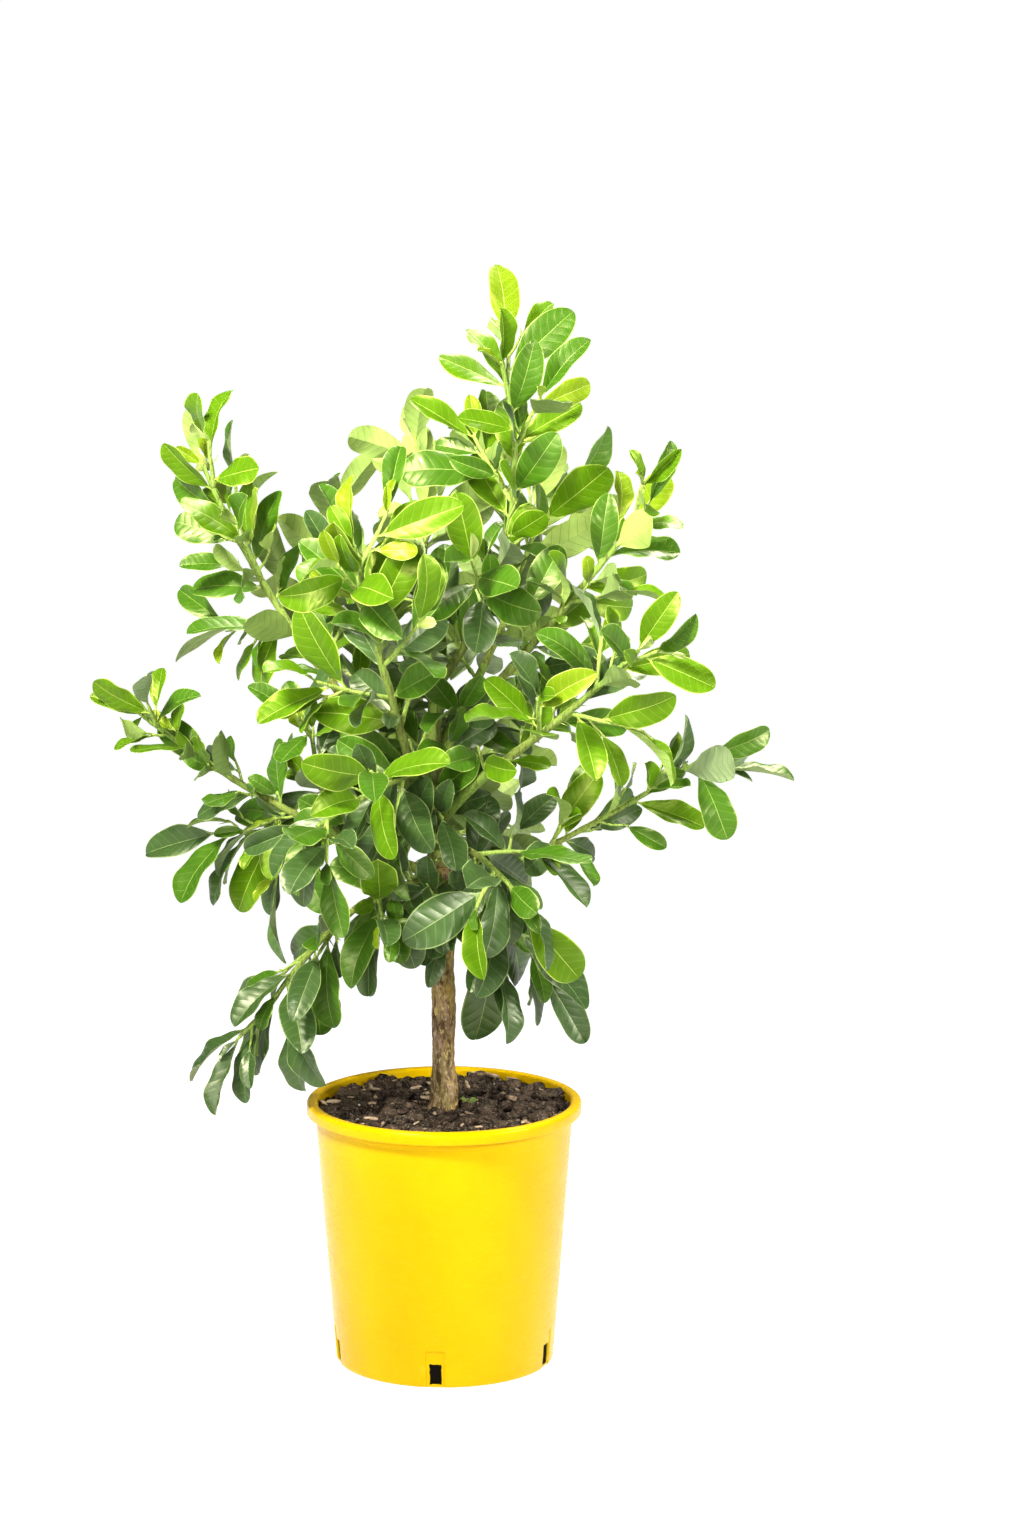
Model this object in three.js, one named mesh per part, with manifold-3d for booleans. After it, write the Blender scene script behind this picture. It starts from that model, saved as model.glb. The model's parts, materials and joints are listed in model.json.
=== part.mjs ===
import * as THREE from 'three';
import Module from 'manifold-3d';
import { mergeVertices } from 'three/addons/utils/BufferGeometryUtils.js';

// A young citron tree in a round nursery pot. Millimetres, +Z up, the origin at the
// centre of the pot's flat underside, and the side that faces -Y is the front.

const wasm = await Module();
wasm.setup();

// The clear gap between pieces that touch
const GAP = 0.3;

// The pot: a tapered cylinder with a rolled lip, and drainage slots round its foot
const POT = {
  height: 291,
  lipRadius: 150,
  lipHeight: 13.5,
  lipEdge: 1.4,
  lipRound: 4.4,
  neckRadius: 140.5,
  footRadius: 119,
  footRound: 3,
  wall: 2.4,
  floor: 3,
  sides: 32,
};

// A drainage slot: a hole through the wall in a shallow panel that starts at the foot
const SLOT = {
  count: 5,
  firstHeading: -94,
  width: 13,
  height: 23,
  lift: 4,
  panelWidth: 21,
  panelHeight: 42,
  panelDepth: 0.8,
  cutDepth: 20,
};

// The soil: a plug that fills the pot, flat under the trunk and in low clods elsewhere,
// which are waves of the given lengths
const SOIL = {
  top: 281,
  flatRadius: 24,
  easeOut: 20,
  clod: 2.1,
  waveX: 57,
  waveY: 48,
  crossWave: 80,
  rings: 3,
};

// The trunk: from the soil to its fork
const TRUNK = {
  foot: [-1, 0, SOIL.top + GAP],
  from: [0, 89],
  to: [180, 88],
  length: 268,
  radius: 13.4,
  topRadius: 12.2,
  flare: 2.8,
  flareReach: 16,
  knot: 0.5,
  knotTwist: 9,
  knotWaves: 23,
  steps: 8,
  sides: 9,
};

// The boughs: name, the limb it grows on and where, the heading and rise of its foot and
// of its tip (degrees, heading 0 is right and 90 is back), length, foot and tip radius
const BOUGHS = [
  ['leader', 'trunk', 1, [165, 78], [15, 78], 200, 11.2, 8],
  ['bough_upper_right', 'leader', 0.5, [-11, 58], [-10, 54], 105, 7, 5.6],
  ['bough_right', 'leader', 0.2, [-62, 42], [-30, 38], 120, 7.5, 5.6],
  ['bough_far_right', 'trunk', 0.96, [-8, 0], [-8, 28], 100, 5, 3.6],
  ['bough_low_right', 'trunk', 0.93, [-30, -5], [-30, -30], 64, 4.4, 3.4],
  ['bough_front_left', 'trunk', 0.99, [-120, 62], [-126, 68], 150, 7, 5.4],
  ['bough_upper_left', 'leader', 0.28, [168, 50], [166, 53], 165, 7, 5.4],
  ['bough_left', 'trunk', 0.955, [-178, 20], [-176, 28], 155, 6.4, 4.6],
  ['bough_left_mid', 'bough_left', 0.8, [120, 72], [130, 66], 36, 3.6, 3],
  ['bough_low_left', 'bough_left', 0.6, [150, 25], [165, 12], 60, 4.2, 3.2],
  ['bough_front', 'leader', 0.5, [-88, 24], [-115, 0], 85, 5.6, 4.4],
  ['bough_front_right', 'leader', 0.12, [-66, 14], [-56, -4], 75, 5, 3.8],
  ['bough_hanging_left', 'trunk', 0.91, [-158, 10], [-164, -28], 100, 5.4, 4],
  ['bough_back_left', 'leader', 0.35, [130, 42], [124, 44], 130, 6, 4.6],
  ['bough_back_right', 'leader', 0.6, [50, 40], [58, 44], 130, 6, 4.6],
  ['bough_back_top', 'leader', 0.88, [104, 44], [95, 52], 110, 5, 4],
  ['bough_back_mid', 'leader', 0.1, [98, 32], [92, 26], 90, 5, 4],
  ['bough_back_low', 'trunk', 0.94, [82, 26], [88, 6], 100, 5.2, 3.8],
  ['bough_low_front', 'trunk', 0.97, [-118, 8], [-122, -6], 52, 4.4, 3.4],
];
const BOUGH = { steps: 5, sides: 6 };

// The foliage masses: name, the limb that carries it and where, the heading and rise of
// its stem's foot and tip, the stem's length, how many twigs grow on it, the longest
// twig, the longest leaf, how far twigs and leaves hang (0 to 1), and the seed
const MASSES = [
  ['foliage_crown_top', 'leader', 1, [0, 54], [176, 76], 362, 6, 100, 84, 0.1, 25],
  ['foliage_upper_right', 'bough_upper_right', 1, [-10, 48], [-8, 52], 275, 5, 75, 76, 0.1, 36],
  ['foliage_right', 'bough_right', 1, [-22, 36], [-9, 44], 210, 5, 75, 80, 0.2, 3],
  ['foliage_far_right', 'bough_far_right', 1, [-8, 28], [-8, 34], 225, 2, 40, 80, 0, 21],
  ['foliage_low_right', 'bough_low_right', 1, [-10, -30], [-10, -60], 66, 2, 55, 100, 0.8, 61],
  ['foliage_front_left', 'bough_front_left', 1, [-126, 66], [-127, 72], 250, 6, 90, 86, 0.1, 23],
  ['foliage_upper_left', 'bough_upper_left', 1, [166, 50], [166, 66], 290, 5, 85, 78, 0.1, 25],
  ['foliage_far_left', 'bough_left', 1, [-174, 28], [-172, 40], 215, 2, 50, 70, 0, 8],
  ['foliage_left_mid', 'bough_left_mid', 1, [142, 66], [142, 78], 80, 2, 50, 66, 0.05, 25],
  ['foliage_low_left', 'bough_low_left', 1, [180, 0], [180, -20], 75, 2, 60, 96, 0.6, 36],
  ['foliage_front', 'bough_front', 1, [-128, -6], [-140, -24], 150, 4, 70, 84, 0.3, 11],
  ['foliage_front_right', 'bough_front_right', 1, [-56, -8], [-46, -40], 95, 3, 70, 92, 0.5, 20],
  ['foliage_hanging_left', 'bough_hanging_left', 1, [-166, -38], [-158, -58], 165, 4, 65, 84, 0.6, 13],
  ['foliage_low_centre', 'trunk', 0.94, [-112, 12], [-112, -16], 80, 2, 60, 66, 0.45, 6],
  ['foliage_low_front', 'bough_low_front', 1, [-122, 4], [-122, -14], 80, 3, 70, 84, 0.35, 14],
  ['foliage_back_left', 'bough_back_left', 1, [122, 42], [118, 60], 215, 4, 85, 84, 0.1, 15],
  ['foliage_back_right', 'bough_back_right', 1, [60, 42], [66, 60], 215, 4, 85, 84, 0.1, 16],
  ['foliage_back_top', 'bough_back_top', 1, [92, 54], [90, 72], 180, 3, 75, 78, 0.1, 17],
  ['foliage_back_mid', 'bough_back_mid', 1, [92, 24], [92, 10], 110, 3, 80, 86, 0.3, 18],
  ['foliage_back_low', 'bough_back_low', 1, [85, 2], [85, -22], 120, 3, 90, 90, 0.4, 19],
];

// A mass's stem and its twigs, and the turns tried where one would touch another piece
const STEM = {
  steps: 5,
  sides: 5,
  fit: 0.92,
  thickest: 5,
  tipRadius: 2.4,
  freeFoot: 12,
  leafSpacing: 31,
  tries: [0, 14, -14, 28, -28],
};
const TWIG = {
  steps: 2,
  sides: 3,
  footRadius: 2.7,
  tipRadius: 1.8,
  rootSink: 2,
  freeFoot: 16,
  leafSpacing: 19,
  firstAt: 0.12,
  lastAt: 0.9,
  openFoot: 62,
  openTip: 40,
  openSpread: 16,
  lift: 0.3,
  tipShare: 0.7,
  lengthSpread: 0.3,
  tries: [0, 30, -30, 60, -60, 90, -90],
};

// The golden angle, by which twigs and leaves go round what carries them
const GOLDEN = 137.5;

// The leaf: an oval blade on a short stalk, folded a little along its midrib
const LEAF = {
  widthShare: 0.48,
  widthSpread: 0.16,
  lengthSpread: 0.2,
  stalkShare: 0.06,
  stations: [0.32, 0.8],
  keel: 1.6,
  arch: 0.045,
  widestShift: 0.92,
  bluntness: 0.62,
  sunk: 1.2,
  leastOnShoot: 3,
  firstAt: 0.16,
  openFoot: 68,
  openTip: 24,
  openSpread: 16,
  faceForward: 0.3,
  faceUp: 0.5,
  facingFrom: 170,
  endLength: 0.93,
  middleLength: 1.12,
  tries: [0, 40, -40, 80, -80, 120, -120, 160],
};

// The beads that stand for limbs and blades where growth keeps clear of them
const BEAD = { spacing: 6, margin: 0.6, rows: 7, columns: 5, firstRow: 0.25, rowStep: 0.12 };

const COLOURS = {
  pot: '#f3d116',
  soil: '#4a3a2c',
  bark: '#80694a',
  greenWood: '#6d8a3a',
  leaf: '#6f9a35',
};

const UP = new THREE.Vector3(0, 0, 1);
const BACK = new THREE.Vector3(0, 1, 0);
const radians = THREE.MathUtils.degToRad;
const mix = THREE.MathUtils.lerp;
const clamp = THREE.MathUtils.clamp;

// A repeatable number from 0 to 1 for three whole numbers
function chance(a, b, c) {
  const wave = Math.sin(a * 12.9898 + b * 78.233 + c * 37.719) * 43758.5453;
  return wave - Math.floor(wave);
}

// The unit vector at a heading and rise in degrees
function direction([heading, rise]) {
  const flat = Math.cos(radians(rise));
  return new THREE.Vector3(
    flat * Math.cos(radians(heading)),
    flat * Math.sin(radians(heading)),
    Math.sin(radians(rise)),
  );
}

// The axis of a limb: its direction turns evenly from foot to tip
function growAxis(foot, start, end, length, steps) {
  const points = [foot.clone()];
  for (let step = 0; step < steps; step += 1) {
    const heading = start.clone().lerp(end, (step + 0.5) / steps).normalize();
    points.push(points[step].clone().addScaledVector(heading, length / steps));
  }
  return points;
}

// The point and direction at a share of an axis
function along(points, share) {
  const reach = Math.min(share, 1) * (points.length - 1);
  const step = Math.min(Math.floor(reach), points.length - 2);
  const heading = points[step + 1].clone().sub(points[step]);
  const point = points[step].clone().addScaledVector(heading, reach - step);
  return { point, heading: heading.normalize() };
}

// Two directions square to an axis and to each other
function squareTo(axis) {
  const reference = Math.abs(axis.z) > 0.9 ? BACK : UP;
  const across = reference.clone().cross(axis).normalize();
  return { across, over: axis.clone().cross(across) };
}

// The direction that opens from an axis by one angle and goes round it by another
function openFrom(axis, open, around) {
  const { across, over } = squareTo(axis);
  return axis.clone().multiplyScalar(Math.cos(radians(open)))
    .addScaledVector(across, Math.sin(radians(open)) * Math.cos(radians(around)))
    .addScaledVector(over, Math.sin(radians(open)) * Math.sin(radians(around)));
}

function meshGeometry(vertices, faces) {
  const geometry = new THREE.BufferGeometry();
  geometry.setAttribute('position', new THREE.Float32BufferAttribute(vertices, 3));
  geometry.setIndex(faces);
  return geometry;
}

// A solid round an axis, with rings of the given radius and closed ends
function tube(points, radiusAt, sides) {
  const whole = points[points.length - 1].clone().sub(points[0]).normalize();
  const reference = Math.abs(whole.z) > 0.9 ? BACK : UP;
  const vertices = [];
  const faces = [];
  const last = points.length - 1;
  points.forEach((point, ring) => {
    const before = points[Math.max(ring - 1, 0)];
    const after = points[Math.min(ring + 1, last)];
    const heading = after.clone().sub(before).normalize();
    const across = reference.clone().cross(heading).normalize();
    const over = heading.clone().cross(across);
    for (let side = 0; side < sides; side += 1) {
      const turn = (2 * Math.PI * side) / sides;
      const radius = radiusAt(ring / last, turn);
      const spot = point.clone().addScaledVector(across, radius * Math.cos(turn));
      spot.addScaledVector(over, radius * Math.sin(turn));
      vertices.push(...spot);
    }
  });
  for (let ring = 0; ring < last; ring += 1) {
    for (let side = 0; side < sides; side += 1) {
      const next = (side + 1) % sides;
      const low = ring * sides;
      const high = low + sides;
      faces.push(low + side, low + next, high + next, low + side, high + next, high + side);
    }
  }
  for (let side = 1; side < sides - 1; side += 1) {
    faces.push(0, side + 1, side, last * sides, last * sides + side, last * sides + side + 1);
  }
  return meshGeometry(vertices, faces);
}

function solidOf(geometry) {
  const bare = geometry.clone();
  bare.deleteAttribute('normal');
  bare.deleteAttribute('uv');
  const merged = mergeVertices(bare);
  return new wasm.Manifold(new wasm.Mesh({
    numProp: 3,
    vertProperties: new Float32Array(merged.attributes.position.array),
    triVerts: new Uint32Array(merged.index.array),
  }));
}

function geometryOf(solid) {
  const mesh = solid.getMesh();
  return meshGeometry(Array.from(mesh.vertProperties), Array.from(mesh.triVerts)).toNonIndexed();
}

// The biggest body of a solid, so that a loose scrap of a cut is dropped
function largest(solid) {
  const bodies = solid.decompose();
  return bodies.reduce((best, body) => (body.volume() > best.volume() ? body : best));
}

const tree = new THREE.Group();

function addPiece(name, solid, colour, roughness) {
  const geometry = geometryOf(solid);
  geometry.computeVertexNormals();
  const material = new THREE.MeshStandardMaterial({ color: colour, roughness, metalness: 0 });
  const mesh = new THREE.Mesh(geometry, material);
  mesh.name = name;
  tree.add(mesh);
}

// The pot's radius outside its wall at a height
function potRadius(height) {
  return mix(POT.footRadius, POT.neckRadius, height / (POT.height - POT.lipHeight));
}

// The pot's radius inside its wall at a height, up to where the lip rounds over
function innerRadius(height) {
  const foot = potRadius(POT.floor) - POT.wall;
  const wallHeight = POT.height - POT.lipRound - POT.floor;
  return mix(foot, POT.neckRadius - POT.wall, (height - POT.floor) / wallHeight);
}

// The points of a rounded edge in a profile, on an arc between two angles in degrees
function roundedEdge(x, y, radius, from, to) {
  return [0, 0.5, 1].map((share) => {
    const turn = radians(mix(from, to, share));
    return [x + radius * Math.cos(turn), y + radius * Math.sin(turn)];
  });
}

function potSolid() {
  const underLip = POT.height - POT.lipHeight;
  const lipFlat = POT.height - POT.lipRound;
  const profile = [
    [0, 0],
    ...roundedEdge(POT.footRadius - POT.footRound, POT.footRound, POT.footRound, -90, 0),
    [POT.neckRadius, underLip + POT.lipEdge],
    [POT.lipRadius - POT.lipEdge, underLip],
    [POT.lipRadius, underLip + POT.lipEdge],
    ...roundedEdge(POT.lipRadius - POT.lipRound, lipFlat, POT.lipRound, 0, 90),
    ...roundedEdge(innerRadius(lipFlat) + POT.lipRound, lipFlat, POT.lipRound, 90, 180),
    [innerRadius(POT.floor), POT.floor],
    [0, POT.floor],
  ].map(([radius, height]) => new THREE.Vector2(radius, height));
  const lathe = new THREE.LatheGeometry(profile, POT.sides);
  lathe.rotateX(Math.PI / 2);
  let solid = solidOf(lathe);
  for (let index = 0; index < SLOT.count; index += 1) {
    solid = solid.subtract(slotCutter(SLOT.firstHeading + (360 / SLOT.count) * index));
  }
  return solid;
}

// What one drainage slot takes out of the wall: the shallow panel and the hole in it
function slotCutter(heading) {
  const depth = SLOT.cutDepth;
  const panel = new THREE.BoxGeometry(depth, SLOT.panelWidth, SLOT.panelHeight + depth);
  panel.translate(depth / 2 - SLOT.panelDepth, 0, (SLOT.panelHeight - depth) / 2);
  panel.rotateY(Math.atan2(POT.neckRadius - POT.footRadius, POT.height - POT.lipHeight));
  panel.translate(POT.footRadius, 0, 0);
  const hole = new THREE.BoxGeometry(depth, SLOT.width, SLOT.height);
  hole.translate(POT.footRadius, 0, SLOT.lift + SLOT.height / 2);
  panel.rotateZ(radians(heading));
  hole.rotateZ(radians(heading));
  return solidOf(panel).add(solidOf(hole));
}

// The height of the soil at a place: crossed waves that fade out at the trunk
function soilHeight(x, y) {
  const away = clamp((Math.hypot(x, y) - SOIL.flatRadius) / SOIL.easeOut, 0, 1);
  const turn = 2 * Math.PI;
  const clods = Math.sin((turn * x) / SOIL.waveX) * Math.cos((turn * y) / SOIL.waveY);
  return SOIL.top + SOIL.clod * away * (clods + Math.sin((turn * (x - y)) / SOIL.crossWave) / 2);
}

// The soil's corners stand on the same headings as the pot's, so that it lies inside
function soilSolid() {
  const sides = POT.sides;
  const topRadius = innerRadius(SOIL.top) - GAP;
  const floorRadius = innerRadius(POT.floor) - GAP;
  const vertices = [0, 0, SOIL.top];
  const faces = [];
  const addRing = (radius, heightAt) => {
    for (let side = 0; side < sides; side += 1) {
      const turn = (2 * Math.PI * side) / sides;
      const x = radius * Math.cos(turn);
      const y = radius * Math.sin(turn);
      vertices.push(x, y, heightAt(x, y));
    }
  };
  for (let ring = 0; ring < SOIL.rings; ring += 1) {
    addRing(mix(SOIL.flatRadius, topRadius, ring / (SOIL.rings - 1)), soilHeight);
  }
  addRing(floorRadius, () => POT.floor + GAP);
  vertices.push(0, 0, POT.floor + GAP);
  const floorCentre = vertices.length / 3 - 1;
  const floorRing = 1 + SOIL.rings * sides;
  for (let side = 0; side < sides; side += 1) {
    const next = (side + 1) % sides;
    faces.push(0, 1 + side, 1 + next);
    for (let near = 1; near < floorRing; near += sides) {
      const far = near + sides;
      faces.push(near + side, far + side, far + next, near + side, far + next, near + next);
    }
    faces.push(floorCentre, floorRing + next, floorRing + side);
  }
  return solidOf(meshGeometry(vertices, faces));
}

// Everything that later growth keeps clear of: beads along limbs and on blades, and the
// solids themselves with their boxes
const beads = [];
const placed = [];

function beadsAlong(points, radiusAt, freeFoot = 0) {
  const made = [];
  const length = points[0].distanceTo(points[points.length - 1]);
  const count = Math.ceil(length / BEAD.spacing);
  for (let index = 0; index <= count; index += 1) {
    const share = index / count;
    if (share * length >= freeFoot) {
      made.push({ point: along(points, share).point, radius: radiusAt(share) + BEAD.margin });
    }
  }
  return made;
}

function clear(candidates) {
  return candidates.every((bead) => beads.every((other) => (
    bead.point.distanceTo(other.point) > bead.radius + other.radius)));
}

// Whether a solid cuts a solid of any other piece
function touchesOthers(solid, piece) {
  const box = solid.boundingBox();
  return placed.some((other) => {
    if (other.piece === piece) return false;
    const apart = [0, 1, 2].some((axis) => box.min[axis] > other.box.max[axis]
      || box.max[axis] < other.box.min[axis]);
    return !apart && !solid.intersect(other.solid).isEmpty();
  });
}

function place(solid, piece) {
  placed.push({ solid, piece, box: solid.boundingBox() });
}

// The trunk and the boughs, each cut clear of the ones before it
const limbs = {};

function growLimb(name, points, radiusAt, sides) {
  let solid = solidOf(tube(points, radiusAt, sides));
  Object.values(limbs).forEach((other) => {
    solid = solid.subtract(other.inflated);
  });
  const wider = (share, turn) => radiusAt(share, turn) + GAP;
  const longer = points.slice(0, -1);
  longer.push(points[points.length - 1].clone().addScaledVector(along(points, 1).heading, GAP));
  const inflated = solidOf(tube(longer, wider, sides));
  limbs[name] = { points, radiusAt, inflated };
  place(inflated, name);
  beads.push(...beadsAlong(points, (share) => radiusAt(share, 0)));
  return largest(solid);
}

function trunkSolid() {
  const foot = new THREE.Vector3(...TRUNK.foot);
  const points = growAxis(foot, direction(TRUNK.from), direction(TRUNK.to), TRUNK.length, TRUNK.steps);
  const radiusAt = (share, turn) => mix(TRUNK.radius, TRUNK.topRadius, share)
    + TRUNK.flare * Math.exp(-share * TRUNK.length / TRUNK.flareReach)
    + TRUNK.knot * Math.sin(turn * 2 + share * TRUNK.knotTwist) * Math.sin(share * TRUNK.knotWaves);
  return growLimb('trunk', points, radiusAt, TRUNK.sides);
}

function boughSolid([name, parent, at, from, to, length, footRadius, tipRadius]) {
  const foot = along(limbs[parent].points, at).point;
  const points = growAxis(foot, direction(from), direction(to), length, BOUGH.steps);
  return growLimb(name, points, (share) => mix(footRadius, tipRadius, share), BOUGH.sides);
}

// One shoot, on the first of the tried ways that is clear of all else past a free
// stretch at its foot
function growShoot(name, ways, foot, length, radiusAt, kind, freeFoot) {
  const axes = ways.map(([start, end]) => growAxis(foot, start, end, length, kind.steps));
  const points = axes.find((axis) => clear(beadsAlong(axis, radiusAt, freeFoot)));
  if (!points) return null;
  beads.push(...beadsAlong(points, radiusAt));
  place(solidOf(tube(points, radiusAt, kind.sides)), name);
  return { points, length, spacing: kind.leafSpacing };
}

// The stem of a mass: it goes on from its bough's tip, or from inside the trunk
function growStem([name, limb, at, from, to, length]) {
  const { points, radiusAt: limbRadius } = limbs[limb];
  const footRadius = Math.min(limbRadius(1, 0) * STEM.fit, STEM.thickest);
  const radiusAt = (share) => mix(footRadius, STEM.tipRadius, share);
  const freeFoot = STEM.freeFoot + (at < 1 ? limbRadius(at, 0) : 0);
  const ways = STEM.tries.map((turn) => [
    direction([from[0] + turn, from[1]]),
    direction([to[0] + turn, to[1]]),
  ]);
  return growShoot(name, ways, along(points, at).point, length, radiusAt, STEM, freeFoot);
}

// A twig by the rule: round its stem by the golden angle, shorter and less open towards
// the stem's tip, turning up at its own tip, or down where the mass hangs
function growTwig(stem, row, number) {
  const [name, , , , , , twigs, longest, , hang, seed] = row;
  const share = mix(TWIG.firstAt, TWIG.lastAt, twigs > 1 ? number / (twigs - 1) : 0.5);
  const { point, heading: axis } = along(stem.points, share);
  const open = mix(TWIG.openFoot, TWIG.openTip, share)
    + TWIG.openSpread * (chance(seed, number, 11) - 0.5);
  const length = longest * mix(1, TWIG.tipShare, share)
    * (1 + TWIG.lengthSpread * (chance(seed, number, 12) - 0.5));
  const around = number * GOLDEN + 360 * chance(seed, 0, 13);
  const ways = TWIG.tries.map((turn) => {
    const start = openFrom(axis, open, around + turn).addScaledVector(UP, -hang / 2);
    return [start, start.clone().addScaledVector(UP, TWIG.lift - hang)];
  });
  const radiusAt = (reach) => mix(TWIG.footRadius, TWIG.tipRadius, reach);
  return growShoot(name, ways, point, length, radiusAt, TWIG, TWIG.freeFoot);
}

// The shoots of a mass, grown before any leaf so that leaves keep clear of them
function growShoots(row) {
  const stem = growStem(row);
  const twigs = Array.from({ length: row[6] }, (_, number) => growTwig(stem, row, number));
  return { row, shoots: [stem, ...twigs] };
}

// The half width of a blade at a share of its length, from 0 to 1
function bladeShape(share) {
  const reach = clamp((share - LEAF.stalkShare) / (1 - LEAF.stalkShare), 0, 1);
  return Math.sin(Math.PI * reach ** LEAF.widestShift) ** LEAF.bluntness;
}

// The place on a blade: along it, across it from -1 to 1, and off its face
function bladeSpot(leaf, share, side, off) {
  const arch = 4 * LEAF.arch * leaf.length * share * (1 - share);
  return leaf.root.clone()
    .addScaledVector(leaf.heading, share * leaf.length)
    .addScaledVector(leaf.across, 0.5 * leaf.width * bladeShape(share) * side)
    .addScaledVector(leaf.face, arch - LEAF.keel * (1 - Math.abs(side)) + off);
}

// A leaf as a closed solid: a root sunk past its twig's axis, two three-sided sections
// with the midrib as a low keel, and the tip
function leafSolid(leaf, extra = 0) {
  const vertices = [];
  const corner = (point) => vertices.push(...point);
  corner(leaf.root.clone().addScaledVector(leaf.heading, -LEAF.sunk));
  const edge = 1 + extra / (0.5 * leaf.width);
  LEAF.stations.forEach((share) => {
    corner(bladeSpot(leaf, share, edge, extra));
    corner(bladeSpot(leaf, share, -edge, extra));
    corner(bladeSpot(leaf, share, 0, -extra));
  });
  corner(bladeSpot(leaf, 1 + extra / leaf.length, 0, 0));
  const faces = [0, 2, 1, 0, 3, 2, 0, 1, 3];
  const tip = 1 + LEAF.stations.length * 3;
  for (let side = 0; side < 3; side += 1) {
    const next = (side + 1) % 3;
    faces.push(1 + side, 1 + next, 4 + next, 1 + side, 4 + next, 4 + side);
    faces.push(4 + side, 4 + next, tip);
  }
  return solidOf(meshGeometry(vertices, faces));
}

// The beads that stand for a blade: small balls spread over its face past its stalk
function bladeBeads(leaf) {
  const made = [];
  const radius = Math.hypot(leaf.length * BEAD.rowStep, leaf.width / (BEAD.columns - 1)) / 4;
  for (let row = 0; row < BEAD.rows; row += 1) {
    for (let column = 0; column < BEAD.columns; column += 1) {
      const side = (2 * column) / (BEAD.columns - 1) - 1;
      made.push({ point: bladeSpot(leaf, BEAD.firstRow + BEAD.rowStep * row, side, 0), radius });
    }
  }
  return made;
}

// A leaf's pose by the rule: round its shoot by the golden angle, opening less towards
// the tip, hanging by its weight, its face turned up and outwards
function leafPose(row, shoot, shootNumber, share, number, turn) {
  const [, , , , , , , , longest, hang, seed] = row;
  const { point, heading: axis } = along(shoot.points, share);
  const luck = (salt) => chance(seed * 7 + salt, shootNumber + 1, number + 1);
  const around = number * GOLDEN + 360 * chance(seed, shootNumber, 5) + turn;
  const open = mix(LEAF.openFoot, LEAF.openTip, share) + LEAF.openSpread * (luck(1) - 0.5);
  const heading = openFrom(axis, open, around).addScaledVector(UP, -hang).normalize();
  const outward = new THREE.Vector3(point.x, point.y - LEAF.facingFrom, 0).normalize();
  const face = outward.addScaledVector(axis, LEAF.faceForward).addScaledVector(UP, LEAF.faceUp);
  face.addScaledVector(heading, -face.dot(heading)).normalize();
  const size = mix(LEAF.endLength, LEAF.middleLength, Math.sin(Math.PI * share));
  const length = longest * (size + LEAF.lengthSpread * (luck(2) - 0.5));
  const width = length * LEAF.widthShare * (1 + LEAF.widthSpread * (luck(3) - 0.5));
  return { root: point, heading, face, across: face.clone().cross(heading), length, width };
}

// The leaves of a mass, each turned round its shoot until it is clear, or else skipped
function growLeaves({ row, shoots }) {
  const name = row[0];
  shoots.forEach((shoot, shootNumber) => {
    if (!shoot) return;
    const count = Math.max(LEAF.leastOnShoot, Math.round(shoot.length / shoot.spacing));
    const lastAt = 1 - TWIG.rootSink / shoot.length;
    for (let number = 0; number < count; number += 1) {
      const share = mix(LEAF.firstAt, lastAt, number / (count - 1));
      const leaf = LEAF.tries.map((turn) => leafPose(row, shoot, shootNumber, share, number, turn))
        .find((trial) => clear(bladeBeads(trial)) && !touchesOthers(leafSolid(trial, GAP), name));
      if (leaf) {
        place(leafSolid(leaf), name);
        beads.push(...bladeBeads(leaf));
      }
    }
  });
}

// A mass is joined from its shoots and leaves, then cut clear of the limb that carries it
function massSolid([name, limb]) {
  const parts = placed.filter((item) => item.piece === name).map((item) => item.solid);
  return largest(parts.reduce((whole, part) => whole.add(part)).subtract(limbs[limb].inflated));
}

addPiece('pot', potSolid(), COLOURS.pot, 0.35);
addPiece('soil', soilSolid(), COLOURS.soil, 1);
addPiece('trunk', trunkSolid(), COLOURS.bark, 0.9);
BOUGHS.forEach((row) => addPiece(row[0], boughSolid(row), COLOURS.greenWood, 0.7));
const masses = MASSES.map(growShoots);
masses.forEach(growLeaves);
masses.forEach(({ row }) => addPiece(row[0], massSolid(row), COLOURS.leaf, 0.5));

export default tree;
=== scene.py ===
"""A young citron tree in a round nursery pot, dressed for its picture.

Limbs, shoots and leaves grow by the rule of the part's source, in millimetres, and become
metres where their meshes are made. The origin is the centre of the pot's flat underside,
+Z is up, and the front faces -Y. Angles in the tables are in degrees: heading 0 is right
and heading 90 is back.
"""

import json
import math
from collections import namedtuple

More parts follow.
